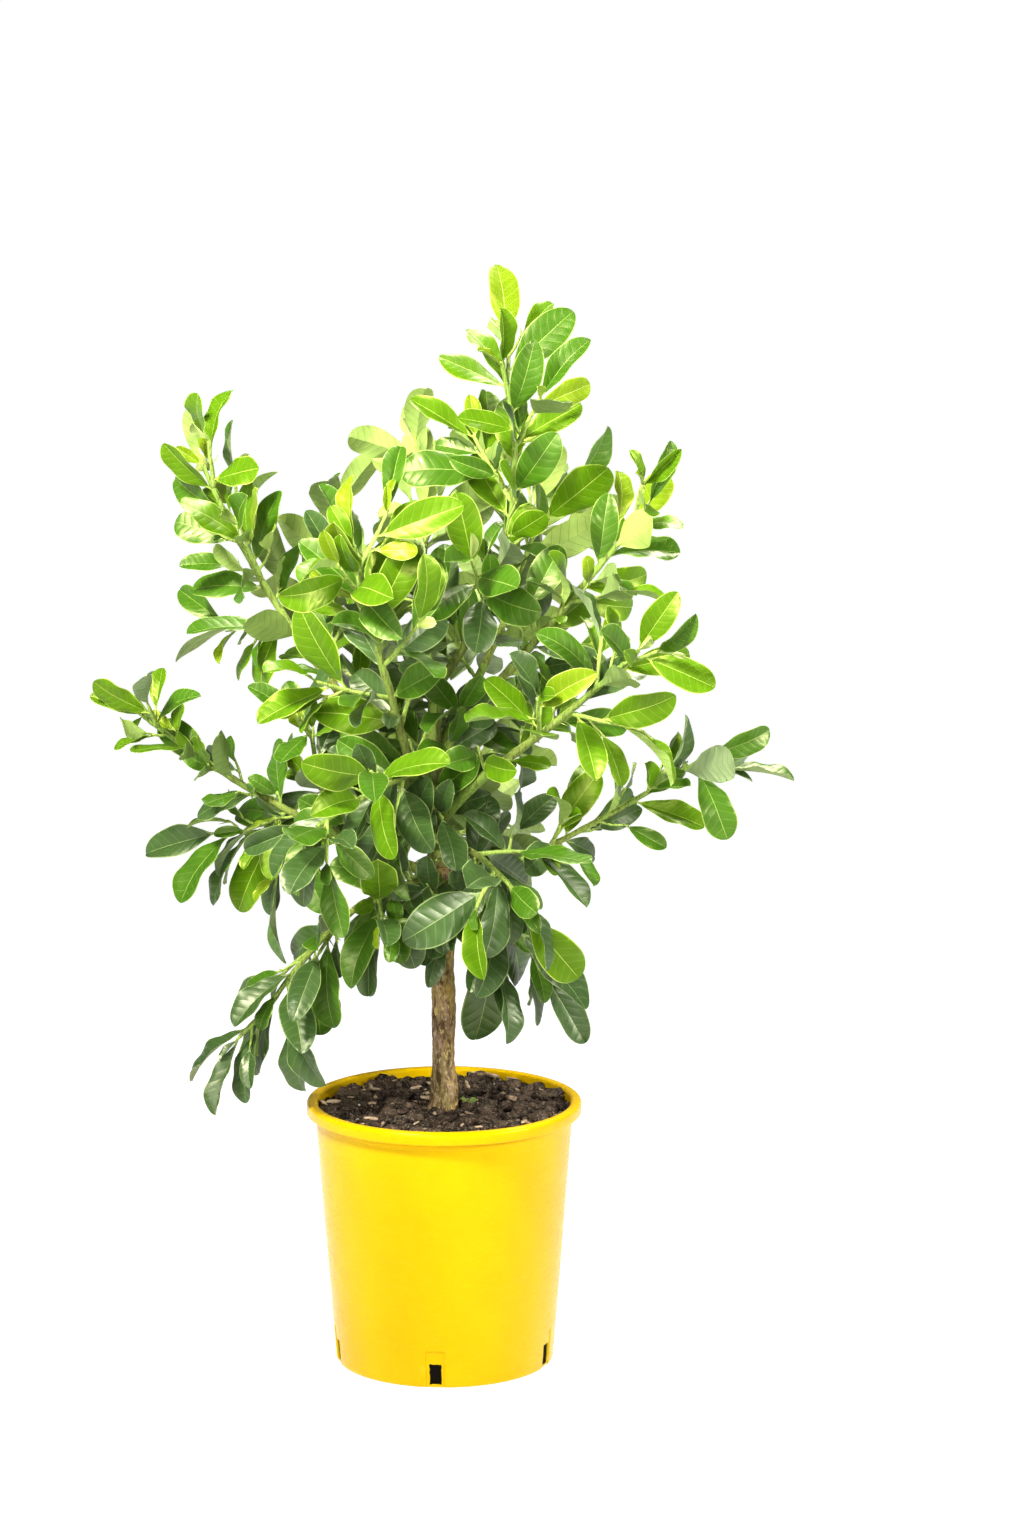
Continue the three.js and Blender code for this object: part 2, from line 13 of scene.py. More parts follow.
import bmesh
import bpy
import numpy as np
from mathutils.bvhtree import BVHTree
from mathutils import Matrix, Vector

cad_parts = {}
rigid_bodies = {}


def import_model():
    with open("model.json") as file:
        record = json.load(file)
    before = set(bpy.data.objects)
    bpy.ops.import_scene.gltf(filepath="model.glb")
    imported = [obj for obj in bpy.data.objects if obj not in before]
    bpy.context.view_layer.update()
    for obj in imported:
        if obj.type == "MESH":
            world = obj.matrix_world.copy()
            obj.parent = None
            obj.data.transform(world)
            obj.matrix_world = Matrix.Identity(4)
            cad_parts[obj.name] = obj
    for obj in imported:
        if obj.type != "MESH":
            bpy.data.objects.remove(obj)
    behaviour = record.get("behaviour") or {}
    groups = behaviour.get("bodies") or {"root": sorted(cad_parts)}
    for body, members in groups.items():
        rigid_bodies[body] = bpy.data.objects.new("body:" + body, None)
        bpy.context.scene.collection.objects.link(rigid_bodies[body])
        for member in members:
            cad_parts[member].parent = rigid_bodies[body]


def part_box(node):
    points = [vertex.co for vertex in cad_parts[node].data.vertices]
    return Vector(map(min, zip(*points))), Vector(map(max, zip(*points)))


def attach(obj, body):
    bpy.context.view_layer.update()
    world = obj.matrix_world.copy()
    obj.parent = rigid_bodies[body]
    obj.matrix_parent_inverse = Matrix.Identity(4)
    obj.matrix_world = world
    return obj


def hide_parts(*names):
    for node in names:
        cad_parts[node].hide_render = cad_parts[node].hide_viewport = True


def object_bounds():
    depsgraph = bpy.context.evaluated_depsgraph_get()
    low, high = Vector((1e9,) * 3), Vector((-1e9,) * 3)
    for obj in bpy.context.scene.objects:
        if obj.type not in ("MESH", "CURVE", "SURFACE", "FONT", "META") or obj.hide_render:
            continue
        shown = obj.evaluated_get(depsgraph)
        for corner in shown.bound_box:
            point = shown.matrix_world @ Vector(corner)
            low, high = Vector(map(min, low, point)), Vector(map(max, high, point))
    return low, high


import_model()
cad_low, cad_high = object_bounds()

MM = 0.001
FULL_TURN = 2 * math.pi
UP = np.array([0.0, 0.0, 1.0])
BACK = np.array([0.0, 1.0, 0.0])

# The camera that took the picture: its place in metres, its downward pitch and its lens
CAMERA = {"place": (0.074, -5.0, 1.575), "pitch": 10.4, "lens": 110.7, "sensor": 36.0}

# The light: all round, from the floor, and the lamps' places, sizes, powers, the cone that
# each lights and their colours; all of them point at one height of the plant
WORLD_LIGHT = 0.14
FLOOR_GLOW = 0.95
FLOOR = {"radius": 600, "sides": 96, "drop": 0.0005}
LAMPS = [
    ("key", (-0.95, -1.25, 2.25), 0.4, 11.5, 50, (1.0, 0.975, 0.88)),
    ("front", (-0.7, -2.3, 1.5), 1.3, 5, 40, (1.0, 1.0, 1.0)),
    ("fill", (2.1, -1.1, 1.4), 0.6, 9, 60, (1.0, 1.0, 0.98)),
    ("back", (0.5, 1.0, 2.3), 0.6, 13, 90, (1.0, 0.98, 0.88)),
]
LIT_HEIGHT = 0.9

# The pot, as in the part's source, with the finer shape of its lip and its slots
POT = {
    "height": 291, "lip_radius": 150, "lip_height": 13.5, "lip_round": 4.4,
    "neck_radius": 140.5, "foot_radius": 119, "foot_round": 3, "wall": 2.4, "floor": 3,
    "step_drop": 8, "step_depth": 0.8, "wobble": 0.22, "wobble_share": 0.6,
    "wobble_heights": (60, 45), "wall_rows": 46, "under_rows": 3, "axis_gap": 0.6,
    "hollow": 0.9, "foot_ring": (12, 9), "lip_gap": 0.6, "inner_rows": (270, 200, 120, 60),
    "crease": 32,
}
LIP_EDGE = {"inset": 1.4, "lift": 0.8, "round": 1.2, "inner_drop": 1.5}
SLOT = {
    "count": 5, "first_heading": -94, "width": 13, "height": 23, "lift": 4,
    "panel_width": 21, "panel_height": 42, "panel_depth": 1.0, "edge": 0.45, "rough": 0.9,
    "rows": 8, "columns": 9, "columns_between": 20, "panel_rows": (8, 4),
}

# The soil: its grid, the heights of its lumps, clods, crumbs and grains, how wide each of these is, how it
# falls off at the trunk, its floor above the pot's own, and its painted light and shade by height
SOIL_TOP = 281
SOIL = {
    "rings": 84, "sides": 260, "lump": 6, "clod": 9.0, "crumb": 3.4, "grain": 1,
    "lump_width": 42, "clod_width": 15, "crumb_width": 6, "grain_width": 2.6, "flat_radius": 16,
    "rise": 30, "flat_share": 0.25, "clod_level": 0.35, "sink": 0.5, "edge_gap": 0.3, "floor": 3.3,
    "axis_gap": 0.5, "painted_light_level": 0.5, "painted_light_rise": 0.07, "bits_inset": 3, "bits_painted_light": 0.6,
}

# What lies on the soil: how many, the seed, the smallest and largest size, the stretch, how
# deep it sinks and how uneven it is
CLODS = (700, 3, 1.6, 11.5, (1, 1, 0.85), 0.05, 0.75)
CHIPS = (130, 8, 2.6, 13, (1, 0.3, 0.34), -0.15, 0.3)
GRAINS = (70, 12, 0.8, 1.9, (1, 1, 1), -0.1, 0.3)

# How each of them lies: how near the axis the first are, its width and height as shares of
# its size, how far it tips, and where it sits
LUMP = {"inner_share": 0.025, "width": (0.6, 1), "height": (0.4, 0.75), "tip": 0.5, "seat": 0.3}

# The seedling on the soil
SPROUT = {
    "foot": (27, -5, 285), "leaves": 6, "leaf": 12, "width_share": 0.6, "rise": (20, 55),
    "vein_depth": 0.3, "tint": 2,
}

# The trunk and the boughs, as in the part's source: name, the limb it grows on and where,
# the heading and rise of its foot and of its tip, length, foot and tip radius
TRUNK = {
    "foot": (-1, 0, 281.3), "from": (0, 89), "to": (180, 88), "length": 268, "radius": 13.4,
    "top_radius": 12.2, "flare": 2.8, "flare_reach": 16, "steps": 8,
}
Bough = namedtuple("Bough", "name parent at start end length foot_radius tip_radius")
BOUGHS = [Bough(*row) for row in [
    ("leader", "trunk", 1, (165, 78), (15, 78), 200, 11.2, 8),
    ("bough_upper_right", "leader", 0.5, (-11, 58), (-10, 54), 105, 7, 5.6),
    ("bough_right", "leader", 0.2, (-62, 42), (-30, 38), 120, 7.5, 5.6),
    ("bough_far_right", "trunk", 0.96, (-8, 0), (-8, 28), 100, 5, 3.6),
    ("bough_low_right", "trunk", 0.93, (-30, -5), (-30, -30), 64, 4.4, 3.4),
    ("bough_front_left", "trunk", 0.99, (-120, 62), (-126, 68), 150, 7, 5.4),
    ("bough_upper_left", "leader", 0.28, (168, 50), (166, 53), 165, 7, 5.4),
    ("bough_left", "trunk", 0.955, (-178, 20), (-176, 28), 155, 6.4, 4.6),
    ("bough_left_mid", "bough_left", 0.8, (120, 72), (130, 66), 36, 3.6, 3),
    ("bough_low_left", "bough_left", 0.6, (150, 25), (165, 12), 60, 4.2, 3.2),
    ("bough_front", "leader", 0.5, (-88, 24), (-115, 0), 85, 5.6, 4.4),
    ("bough_front_right", "leader", 0.12, (-66, 14), (-56, -4), 75, 5, 3.8),
    ("bough_hanging_left", "trunk", 0.91, (-158, 10), (-164, -28), 100, 5.4, 4),
    ("bough_back_left", "leader", 0.35, (130, 42), (124, 44), 130, 6, 4.6),
    ("bough_back_right", "leader", 0.6, (50, 40), (58, 44), 130, 6, 4.6),
    ("bough_back_top", "leader", 0.88, (104, 44), (95, 52), 110, 5, 4),
    ("bough_back_mid", "leader", 0.1, (98, 32), (92, 26), 90, 5, 4),
    ("bough_back_low", "trunk", 0.94, (82, 26), (88, 6), 100, 5.2, 3.8),
    ("bough_low_front", "trunk", 0.97, (-118, 8), (-122, -6), 52, 4.4, 3.4),
]]
BOUGH_STEPS = 5

# The foliage masses, as in the part's source: name, the limb that carries it and where,
# the heading and rise of its stem's foot and tip, the stem's length, how many twigs grow
# on it, the longest twig, the longest leaf, how far it hangs (0 to 1), and the seed
Mass = namedtuple("Mass", "name limb at start end length twigs longest_twig longest_leaf hang seed")
MASSES = [Mass(*row) for row in [
    ("foliage_crown_top", "leader", 1, (0, 54), (176, 76), 362, 6, 100, 84, 0.1, 25),
    ("foliage_upper_right", "bough_upper_right", 1, (-10, 48), (-8, 52), 275, 5, 75, 76, 0.1, 36),
    ("foliage_right", "bough_right", 1, (-22, 36), (-9, 44), 210, 5, 75, 80, 0.2, 3),
    ("foliage_far_right", "bough_far_right", 1, (-8, 28), (-8, 34), 225, 2, 40, 80, 0, 21),
    ("foliage_low_right", "bough_low_right", 1, (-10, -30), (-10, -60), 66, 2, 55, 100, 0.8, 61),
    ("foliage_front_left", "bough_front_left", 1, (-126, 66), (-127, 72), 250, 6, 90, 86, 0.1, 23),
    ("foliage_upper_left", "bough_upper_left", 1, (166, 50), (166, 66), 290, 5, 85, 78, 0.1, 25),
    ("foliage_far_left", "bough_left", 1, (-174, 28), (-172, 40), 215, 2, 50, 70, 0, 8),
    ("foliage_left_mid", "bough_left_mid", 1, (142, 66), (142, 78), 80, 2, 50, 66, 0.05, 25),
    ("foliage_low_left", "bough_low_left", 1, (180, 0), (180, -20), 75, 2, 60, 96, 0.6, 36),
    ("foliage_front", "bough_front", 1, (-128, -6), (-140, -24), 150, 4, 70, 84, 0.3, 11),
    ("foliage_front_right", "bough_front_right", 1, (-56, -8), (-46, -40), 95, 3, 70, 92, 0.5, 20),
    ("foliage_hanging_left", "bough_hanging_left", 1, (-166, -38), (-158, -58), 165, 4, 65, 84, 0.6, 13),
    ("foliage_low_centre", "trunk", 0.94, (-112, 12), (-112, -16), 80, 2, 60, 66, 0.45, 6),
    ("foliage_low_front", "bough_low_front", 1, (-122, 4), (-122, -14), 80, 3, 70, 84, 0.35, 14),
    ("foliage_back_left", "bough_back_left", 1, (122, 42), (118, 60), 215, 4, 85, 84, 0.1, 15),
    ("foliage_back_right", "bough_back_right", 1, (60, 42), (66, 60), 215, 4, 85, 84, 0.1, 16),
    ("foliage_back_top", "bough_back_top", 1, (92, 54), (90, 72), 180, 3, 75, 78, 0.1, 17),
    ("foliage_back_mid", "bough_back_mid", 1, (92, 24), (92, 10), 110, 3, 80, 86, 0.3, 18),
    ("foliage_back_low", "bough_back_low", 1, (85, 2), (85, -22), 120, 3, 90, 90, 0.4, 19),
]]
FOLIAGE = [mass.name for mass in MASSES]

# The rule's numbers for stems, twigs, leaves and the beads that keep growth apart
STEM = {
    "steps": 5, "fit": 0.92, "thickest": 5, "tip_radius": 2.4, "free_foot": 12, "leaf_spacing": 31,
    "tries": (0, 14, -14, 28, -28),
}
TWIG = {
    "steps": 2, "foot_radius": 2.7, "tip_radius": 1.8, "root_sink": 2, "free_foot": 16,
    "leaf_spacing": 19, "first_at": 0.12, "last_at": 0.9, "open_foot": 62, "open_tip": 40,
    "open_spread": 16, "lift": 0.3, "tip_share": 0.7, "length_spread": 0.3,
    "tries": (0, 30, -30, 60, -60, 90, -90),
}
GOLDEN = 137.5
LEAF = {
    "width_share": 0.48, "width_spread": 0.16, "length_spread": 0.2, "stalk_share": 0.06,
    "keel": 1.6, "arch": 0.045, "widest_shift": 0.92, "bluntness": 0.62, "least_on_shoot": 3,
    "first_at": 0.16, "open_foot": 68, "open_tip": 24, "open_spread": 16, "face_forward": 0.3,
    "face_up": 0.5, "facing_from": 170, "end_length": 0.93, "middle_length": 1.12,
    "tries": (0, 40, -40, 80, -80, 120, -120, 160),
}
BEAD = {"spacing": 6, "margin": 0.6, "rows": 7, "columns": 5, "first_row": 0.25, "row_step": 0.12}

# The finer growth of the picture, inside the reach of each mass's solid: spurs on the shoots
# with small leaves on them, the young leaves at each tip, and twigs that grow straight from
# the boughs inside the crown
SPUR = {
    "spacing": (16, 36), "full_twigs": 5, "jitter": 0.4, "last_at": 0.96, "length": (14, 34),
    "foot_radius": 1.7, "tip_radius": 1.1, "steps": 2, "open": 52, "turn": 68, "forward": 0.5,
    "lift": 0.3, "leaves": 3, "leaf_at": (0.45, 0.98), "leaf_open": (58, 26),
    "leaf_share": (0.5, 0.82), "youth": 0.55, "seed_step": 31, "per_shoot": 8,
}
TIP = {"leaves": 3, "leaf_share": (0.34, 0.6), "open": (14, 34), "at": 0.995, "youth": 1.0, "seed_step": 57}
INNER = {
    "spacing": 30, "first_at": 0.2, "last_at": 0.95, "length": (30, 58), "foot_radius": 2.2,
    "tip_radius": 1.5, "steps": 2, "free_foot": 10, "open": (46, 70), "lift": 0.4, "leaves": 5,
    "leaf_at": (0.4, 0.98), "leaf_open": (66, 28), "leaf_share": (0.6, 1.0), "youth": 0.3,
    "longest_leaf": 84, "hang": 0.3, "first_seed": 71,
}
REACH_SLACK = 8

# The bead test takes the blades of the finer growth a little smaller than they are
FINE_BLADE = 0.62

# The leaf's mesh: the shares of its columns, the places of its rings along the stalk, the
# veins and the tip, its thickness, its stalk, its veins, how its margin waves, and how far
# it droops, curls and keeps its keel
BLADE = {
    "margin": 0.945, "half": 0.5, "rib": 0.02, "slimmer": 0.97, "widest": (0.52, 0.66),
    "rise_power": 1.05, "tip_power": (2.2, 3.0), "tip_round": 0.54, "thickness": 0.5,
    "edge_thinning": 0.75, "rib_width": 8, "rib_depth": 0.5, "stalk_end": 0.045,
    "stalk_fade": 0.05, "stalk_radius": 0.95, "stalk_thickness": 2.1, "least_half_width": 0.35,
    "stalk_rings": (0, 0.045, 0.075, 0.115), "tip_rings": (0.955, 0.982, 0.998),
    "vein_pairs": 7, "veins_from": 0.16, "veins_to": 0.86, "vein_width": 0.009, "bulge_at": 0.52,
    "vein_slant": 0.16, "full_relief": 95, "most_relief": 1.2, "relief_power": 1.4,
    "waves": (1.2, 2.6), "wave_shift": 3, "wave": 0.11, "curl_from": 0.55, "keel_share": 0.6,
    "droop": 0.22, "crease": 38,
}

# How deep a vein is at places from the midrib to the margin
VEIN_PLACES = (0, 0.02, 0.5, 0.97, 1)
VEIN_SHARES = (0.1, 0.3, 1, 0.15, 0.04)

# The corners of a ring of the leaf's mesh: six on the upper side, five on the underside
RING = 11
UPPER_CORNERS = 6

# How leaves differ by chance, and how far behind the trunk they begin to face the back
HABIT = {
    "fold": (8, 38), "young_fold": 14, "young_from": 0.9, "arch": (0.01, 0.1), "twist": (-30, 30),
    "curl": (-0.08, 0.42), "roll": (-44, 44), "behind": 90,
}

# How a leaf's tint follows its height, partly for the age of the leaves and partly as painted shade
# low under the crown, its size and its distance from the pot's axis: the tint's number at the lowest
# and at the highest, how far chance takes it there, how much small young leaves gain, and the painted
# shade on those inside and the painted light on those outside
TINT_RULE = {
    "lowest": 430, "rise": 620, "level": (-0.3, 2.3), "spread": (2.8, 1.9), "spray_spread": 0.9,
    "small": 72, "small_range": 34, "small_gain": 1.3, "outside": 150, "inside_painted_shade": -1.1,
    "outside_painted_light": 0.5, "low_fade": 4,
}

# How the leaves that come through others are drawn again: how often, how much further tilted
# and how much smaller each time, how many rings of the stalk don't count, and the step from
# one draw's number to the next
SETTLE = {"tries": 24, "tilt": 1.6, "shrink": 0.985, "stalk_rings": 4, "seed_step": 1000}

# The tints of the leaves from the shaded ones to the youngest: the upper side, the paler
# underside, the midrib and margin, how much light the blade lets through, how strong and
# how blue its gloss is, how far its veins are pressed in, in millimetres, and how far they
# take the tone of the midrib
Tint = namedtuple("Tint", "name upper under rib glow gloss vein_depth veining")
TINTS = [Tint(*row) for row in [
    ("shade", "#3a5624", "#86986a", "#8ea060", 0.03, (0.65, 0.75), 1.4, 0.2),
    ("deep", "#3b640c", "#869c58", "#98ac56", 0.05, (0.6, 0.5), 1.25, 0.18),
    ("mid", "#4f7607", "#97af5c", "#b0c25a", 0.06, (0.5, 0.26), 0.85, 0.14),
    ("bright", "#728c12", "#a6ba62", "#c8d478", 0.08, (0.45, 0.22), 0.6, 0.16),
    ("young", "#a2b060", "#b0c272", "#dae2a8", 0.1, (0.45, 0.35), 0.5, 0.18),
]]

# The bark's relief on the trunk: slow sways and bulges, and fissures as the number round the
# trunk, their length and their depth
TRUNK_BARK = {
    "rows": 240, "sides": 96, "sway": 0.5, "sway_turns": 9, "sway_waves": 23, "bulge": 2.8,
    "bulge_sides": 3, "bulge_length": 27, "wander": 3.4, "wander_length": 22, "swell": 1.1,
    "sunk": 12, "sunk_swell": 1.6, "fissures": ((6, 34, 0.9), (13, 12, 0.7), (30, 5, 0.45)),
}

# The bark's relief on the boughs: a collar at the foot, slow bulges, ridges and leaf scars,
# and how old each is at its foot and how fast it grows younger
BOUGH_BARK = {
    "row_length": 2, "sides": 24, "collar": 0.2, "collar_at": 8, "collar_length": 9,
    "bulge": 0.09, "bulge_length": 16, "ridge": 0.16, "ridge_length": 9, "ridges": 12,
    "scar_spacing": 22, "scar": 0.6, "scar_length": 2.2, "scar_width": 0.12,
    "leader_age": 0.78, "first_age": 0.5, "later_age": 0.3, "leader_fall": 0.75, "fall": 0.9,
}

# Stems, twigs and spurs: their rings, their swelling at each leaf, and the sway of long ones
SHOOT = {
    "stem_sides": 12, "twig_sides": 8, "spur_sides": 6, "least_rows": 5, "row_length": 4,
    "node_swell": 0.16, "node_length": 3.2, "blunt": 0.7, "sway": 0.9, "sway_length": 31,
    "sway_from": 60, "age": 0.35,
}

# The buds at the leaves' feet, and the slim thorns beside some of them
BUD = {
    "lift": 1.6, "length": 3.6, "radius": 1.15, "forward": 1.4, "ends": (0.3, 0.97), "sides": 6,
    "rings": 5,
}
THORN = {
    "share": 0.3, "youngest": 0.9, "length": (8, 17), "radius": 0.95, "taper": 0.8, "tip": 0.07,
    "out": 0.7, "aside": 0.8, "forward": 0.25,
}


# Growth


def chance(first, second, third):
    """A repeatable number from 0 to 1 for three whole numbers: the fraction of a big sine.
    A whole number written out in a call only tells one draw from another."""
    wave = np.sin(first * 12.9898 + second * 78.233 + third * 37.719) * 43758.5453
    return wave - np.floor(wave)


def mix(first, second, share):
    """The value at a share of the way from the first to the second."""
    return first + (second - first) * share


def unit(vectors):
    """Vectors divided by their lengths."""
    return vectors / np.linalg.norm(vectors, axis=-1, keepdims=True)


def direction(pair):
    """The unit vector at a heading and rise in degrees."""
    heading, rise = np.radians(pair)
    flat = math.cos(rise)
    return np.array([flat * math.cos(heading), flat * math.sin(heading), math.sin(rise)])


def grow_axis(foot, start, end, length, steps):
    """Points of a limb's axis: its direction turns evenly from start to end."""
    shares = (np.arange(steps) + 0.5) / steps
    headings = unit(mix(start, end, shares[:, None]))
    return np.vstack([foot, foot + np.cumsum(headings * length / steps, axis=0)])


def along(points, share):
    """The points and directions at shares of an axis, on its straight steps."""
    reach = np.minimum(share, 1) * (len(points) - 1)
    step = np.minimum(np.floor(reach).astype(int), len(points) - 2)
    run = points[step + 1] - points[step]
    return points[step] + run * np.asarray(reach - step)[..., None], unit(run)


def rounded(points, count):
    """The same axis as a smooth curve of count points that still passes through its own:
    a cubic between each two, steered by their neighbours."""
    reach = np.linspace(0, len(points) - 1, count)
    step = np.minimum(np.floor(reach).astype(int), len(points) - 2)
    part = (reach - step)[:, None]
    padded = np.vstack([2 * points[0] - points[1], points, 2 * points[-1] - points[-2]])
    before, start, end, after = (padded[step + shift] for shift in range(4))
    return start + 0.5 * part * (end - before + part * (
        2 * before - 5 * start + 4 * end - after + part * (3 * (start - end) + after - before)))


def square_to(axis):
    """Two directions square to an axis and to each other."""
    reference = BACK if abs(axis[2]) > 0.9 else UP
    across = unit(np.cross(reference, axis))
    return across, np.cross(axis, across)


def open_from(axis, opening, around):
    """The direction that opens from an axis by one angle and goes round it by another."""
    across, over = square_to(axis)
    opening, around = math.radians(opening), math.radians(around)
    side = math.cos(around) * across + math.sin(around) * over
    return math.cos(opening) * axis + math.sin(opening) * side


class Beads:
    """Balls that stand for limbs, shoots and blades where growth keeps clear of them."""

    def __init__(self):
        self.centres = np.empty((0, 3))
        self.radii = np.empty(0)

    def add(self, centres, radii):
        self.centres = np.vstack([self.centres, centres])
        self.radii = np.concatenate([self.radii, radii])

    def clear(self, centres, radii):
        """Whether no ball given touches one that is there."""
        reach = radii.max() + self.radii.max()
        low, high = centres.min(axis=0) - reach, centres.max(axis=0) + reach
        near = np.all((self.centres > low) & (self.centres < high), axis=1)
        if not near.any():
            return True
        apart = np.linalg.norm(centres[:, None] - self.centres[near], axis=2)
        return bool(np.all(apart > radii[:, None] + self.radii[near]))


# All that grows: the beads, the limbs by name, each mass with its stem and twigs, the twigs
# from the boughs, the spurs, and the leaves in the order in which they grow
beads = Beads()
limbs = {}
sprays = []
inner = []
spurs = []
leaves = []


def beads_along(points, radius_at, free_foot=0):
    """The beads of an axis, evenly spaced up to its tip, past a free stretch at its foot."""
    length = np.linalg.norm(points[-1] - points[0])
    count = math.ceil(length / BEAD["spacing"])
    shares = np.arange(count + 1) / count
    shares = shares[shares * length >= free_foot]
    return along(points, shares)[0], radius_at(shares) + BEAD["margin"]


def tapered(foot_radius, tip_radius):
    """The radius at a share of a limb's length, on an even taper."""
    return lambda share: mix(foot_radius, tip_radius, np.asarray(share, float))


def grow_limbs():
    """The axes and radii of the trunk and of the boughs, each from its place on its parent."""
    foot, start, end = np.array(TRUNK["foot"]), direction(TRUNK["from"]), direction(TRUNK["to"])
    points = grow_axis(foot, start, end, TRUNK["length"], TRUNK["steps"])
    limbs["trunk"] = {"points": points, "radius": tapered(TRUNK["radius"], TRUNK["top_radius"])}
    for bough in BOUGHS:
        root = along(limbs[bough.parent]["points"], bough.at)[0]
        start, end = direction(bough.start), direction(bough.end)
        points = grow_axis(root, start, end, bough.length, BOUGH_STEPS)
        limbs[bough.name] = {"points": points, "radius": tapered(bough.foot_radius, bough.tip_radius)}
    for limb in limbs.values():
        beads.add(*beads_along(limb["points"], limb["radius"]))


def grow_shoot(ways, foot, length, radius_at, steps, free_foot):
    """One shoot, on the first way that is clear of all else past a free stretch at its foot."""
    for start, end in ways:
        points = grow_axis(foot, start, end, length, steps)
        if beads.clear(*beads_along(points, radius_at, free_foot)):
            beads.add(*beads_along(points, radius_at))
            return {"points": points, "length": length, "radius": radius_at, "nodes": []}
    return None


def grow_stem(mass):
    """The stem of a mass: it goes on from its bough's tip, or from inside the trunk."""
    limb = limbs[mass.limb]
    foot_radius = min(float(limb["radius"](1)) * STEM["fit"], STEM["thickest"])
    radius_at = tapered(foot_radius, STEM["tip_radius"])
    free_foot = STEM["free_foot"] + (float(limb["radius"](mass.at)) if mass.at < 1 else 0)
    ways = []
    for turn in STEM["tries"]:
        start, end = ((heading + turn, rise) for heading, rise in (mass.start, mass.end))
        ways.append((direction(start), direction(end)))
    foot = along(limb["points"], mass.at)[0]
    return grow_shoot(ways, foot, mass.length, radius_at, STEM["steps"], free_foot)


def grow_twig(stem, mass, number):
    """A twig by the rule: round its stem by the golden angle, shorter and less open towards
    the stem's tip, turning up at its own tip, or down where the mass hangs."""
    share = mix(TWIG["first_at"], TWIG["last_at"], number / (mass.twigs - 1) if mass.twigs > 1 else 0.5)
    point, axis = along(stem["points"], share)
    opening = mix(TWIG["open_foot"], TWIG["open_tip"], share)
    opening += TWIG["open_spread"] * (chance(mass.seed, number, 11) - 0.5)
    length = mass.longest_twig * mix(1, TWIG["tip_share"], share)
    length *= 1 + TWIG["length_spread"] * (chance(mass.seed, number, 12) - 0.5)
    around = number * GOLDEN + 360 * chance(mass.seed, 0, 13)
    ways = []
    for turn in TWIG["tries"]:
        start = open_from(axis, opening, around + turn) - UP * mass.hang / 2
        ways.append((start, start + UP * (TWIG["lift"] - mass.hang)))
    radius_at = tapered(TWIG["foot_radius"], TWIG["tip_radius"])
    return grow_shoot(ways, point, length, radius_at, TWIG["steps"], TWIG["free_foot"])


def numbered(shoots):
    """The shoots that found room, each with its number."""
    return [(number, shoot) for number, shoot in enumerate(shoots) if shoot]


def blade_shape(share):
    """The half width of a blade in the part's source at a share of its length, from 0 to 1:
    a sine, rounded by a power below 1 at both ends and leaning a little to the tip."""
    reach = np.clip((share - LEAF["stalk_share"]) / (1 - LEAF["stalk_share"]), 0, 1)
    return np.maximum(np.sin(np.pi * reach ** LEAF["widest_shift"]), 0) ** LEAF["bluntness"]


def blade_beads(leaf):
    """Small balls spread over a blade past its stalk."""
    rows = BEAD["first_row"] + BEAD["row_step"] * np.arange(BEAD["rows"])
    grids = np.meshgrid(rows, np.linspace(-1, 1, BEAD["columns"]))
    share, side = (grid.ravel()[:, None] for grid in grids)
    lift = 4 * LEAF["arch"] * leaf["length"] * share * (1 - share) - LEAF["keel"] * (1 - abs(side))
    spots = leaf["root"] + share * leaf["length"] * leaf["heading"] + lift * leaf["face"]
    across = np.cross(leaf["face"], leaf["heading"])
    spots = spots + 0.5 * leaf["width"] * blade_shape(share) * side * across
    radius = math.hypot(leaf["length"] * BEAD["row_step"], leaf["width"] / (BEAD["columns"] - 1)) / 4
    return spots, np.full(len(spots), radius)


def leaf_face(point, axis, heading):
    """The way a blade faces: up and outwards, square to its own heading."""
    outward = unit(point * (1, 1, 0) - BACK * LEAF["facing_from"])
    face = outward + LEAF["face_forward"] * axis + LEAF["face_up"] * UP
    return unit(face - face.dot(heading) * heading)


def leaf_pose(mass, shoot, shoot_number, share, number, turn):
    """A leaf by the rule: round its shoot by the golden angle, opening less towards the
    tip, hanging by its weight."""
    point, axis = along(shoot["points"], share)
    luck = [chance(mass.seed * 7 + salt, shoot_number + 1, number + 1) for salt in range(4)]
    around = number * GOLDEN + 360 * chance(mass.seed, shoot_number, 5) + turn
    opening = mix(LEAF["open_foot"], LEAF["open_tip"], share) + LEAF["open_spread"] * (luck[1] - 0.5)
    heading = unit(open_from(axis, opening, around) - mass.hang * UP)
    size = mix(LEAF["end_length"], LEAF["middle_length"], math.sin(math.pi * share))
    length = mass.longest_leaf * (size + LEAF["length_spread"] * (luck[2] - 0.5))
    width = length * LEAF["width_share"] * (1 + LEAF["width_spread"] * (luck[3] - 0.5))
    return {"root": point, "heading": heading, "face": leaf_face(point, axis, heading), "length": length,
            "width": width, "axis": axis, "youth": share, "shoot": shoot}


def keep_leaf(leaf):
    """Adds a leaf to the tree and marks its place on its shoot."""
    leaves.append(leaf)
    leaf["shoot"]["nodes"].append(leaf["youth"])


def grow_leaves(mass, shoots):
    """The leaves of a mass, each turned round its shoot until it is clear, or else skipped."""
    for shoot_number, shoot in numbered(shoots):
        spacing = (TWIG if shoot_number else STEM)["leaf_spacing"]
        count = max(LEAF["least_on_shoot"], int(shoot["length"] / spacing + 0.5))
        last_at = 1 - TWIG["root_sink"] / shoot["length"]
        for number in range(count):
            share = mix(LEAF["first_at"], last_at, number / (count - 1))
            for turn in LEAF["tries"]:
                leaf = leaf_pose(mass, shoot, shoot_number, share, number, turn)
                balls = blade_beads(leaf)
                if beads.clear(*balls):
                    beads.add(*balls)
                    keep_leaf(leaf)
                    break


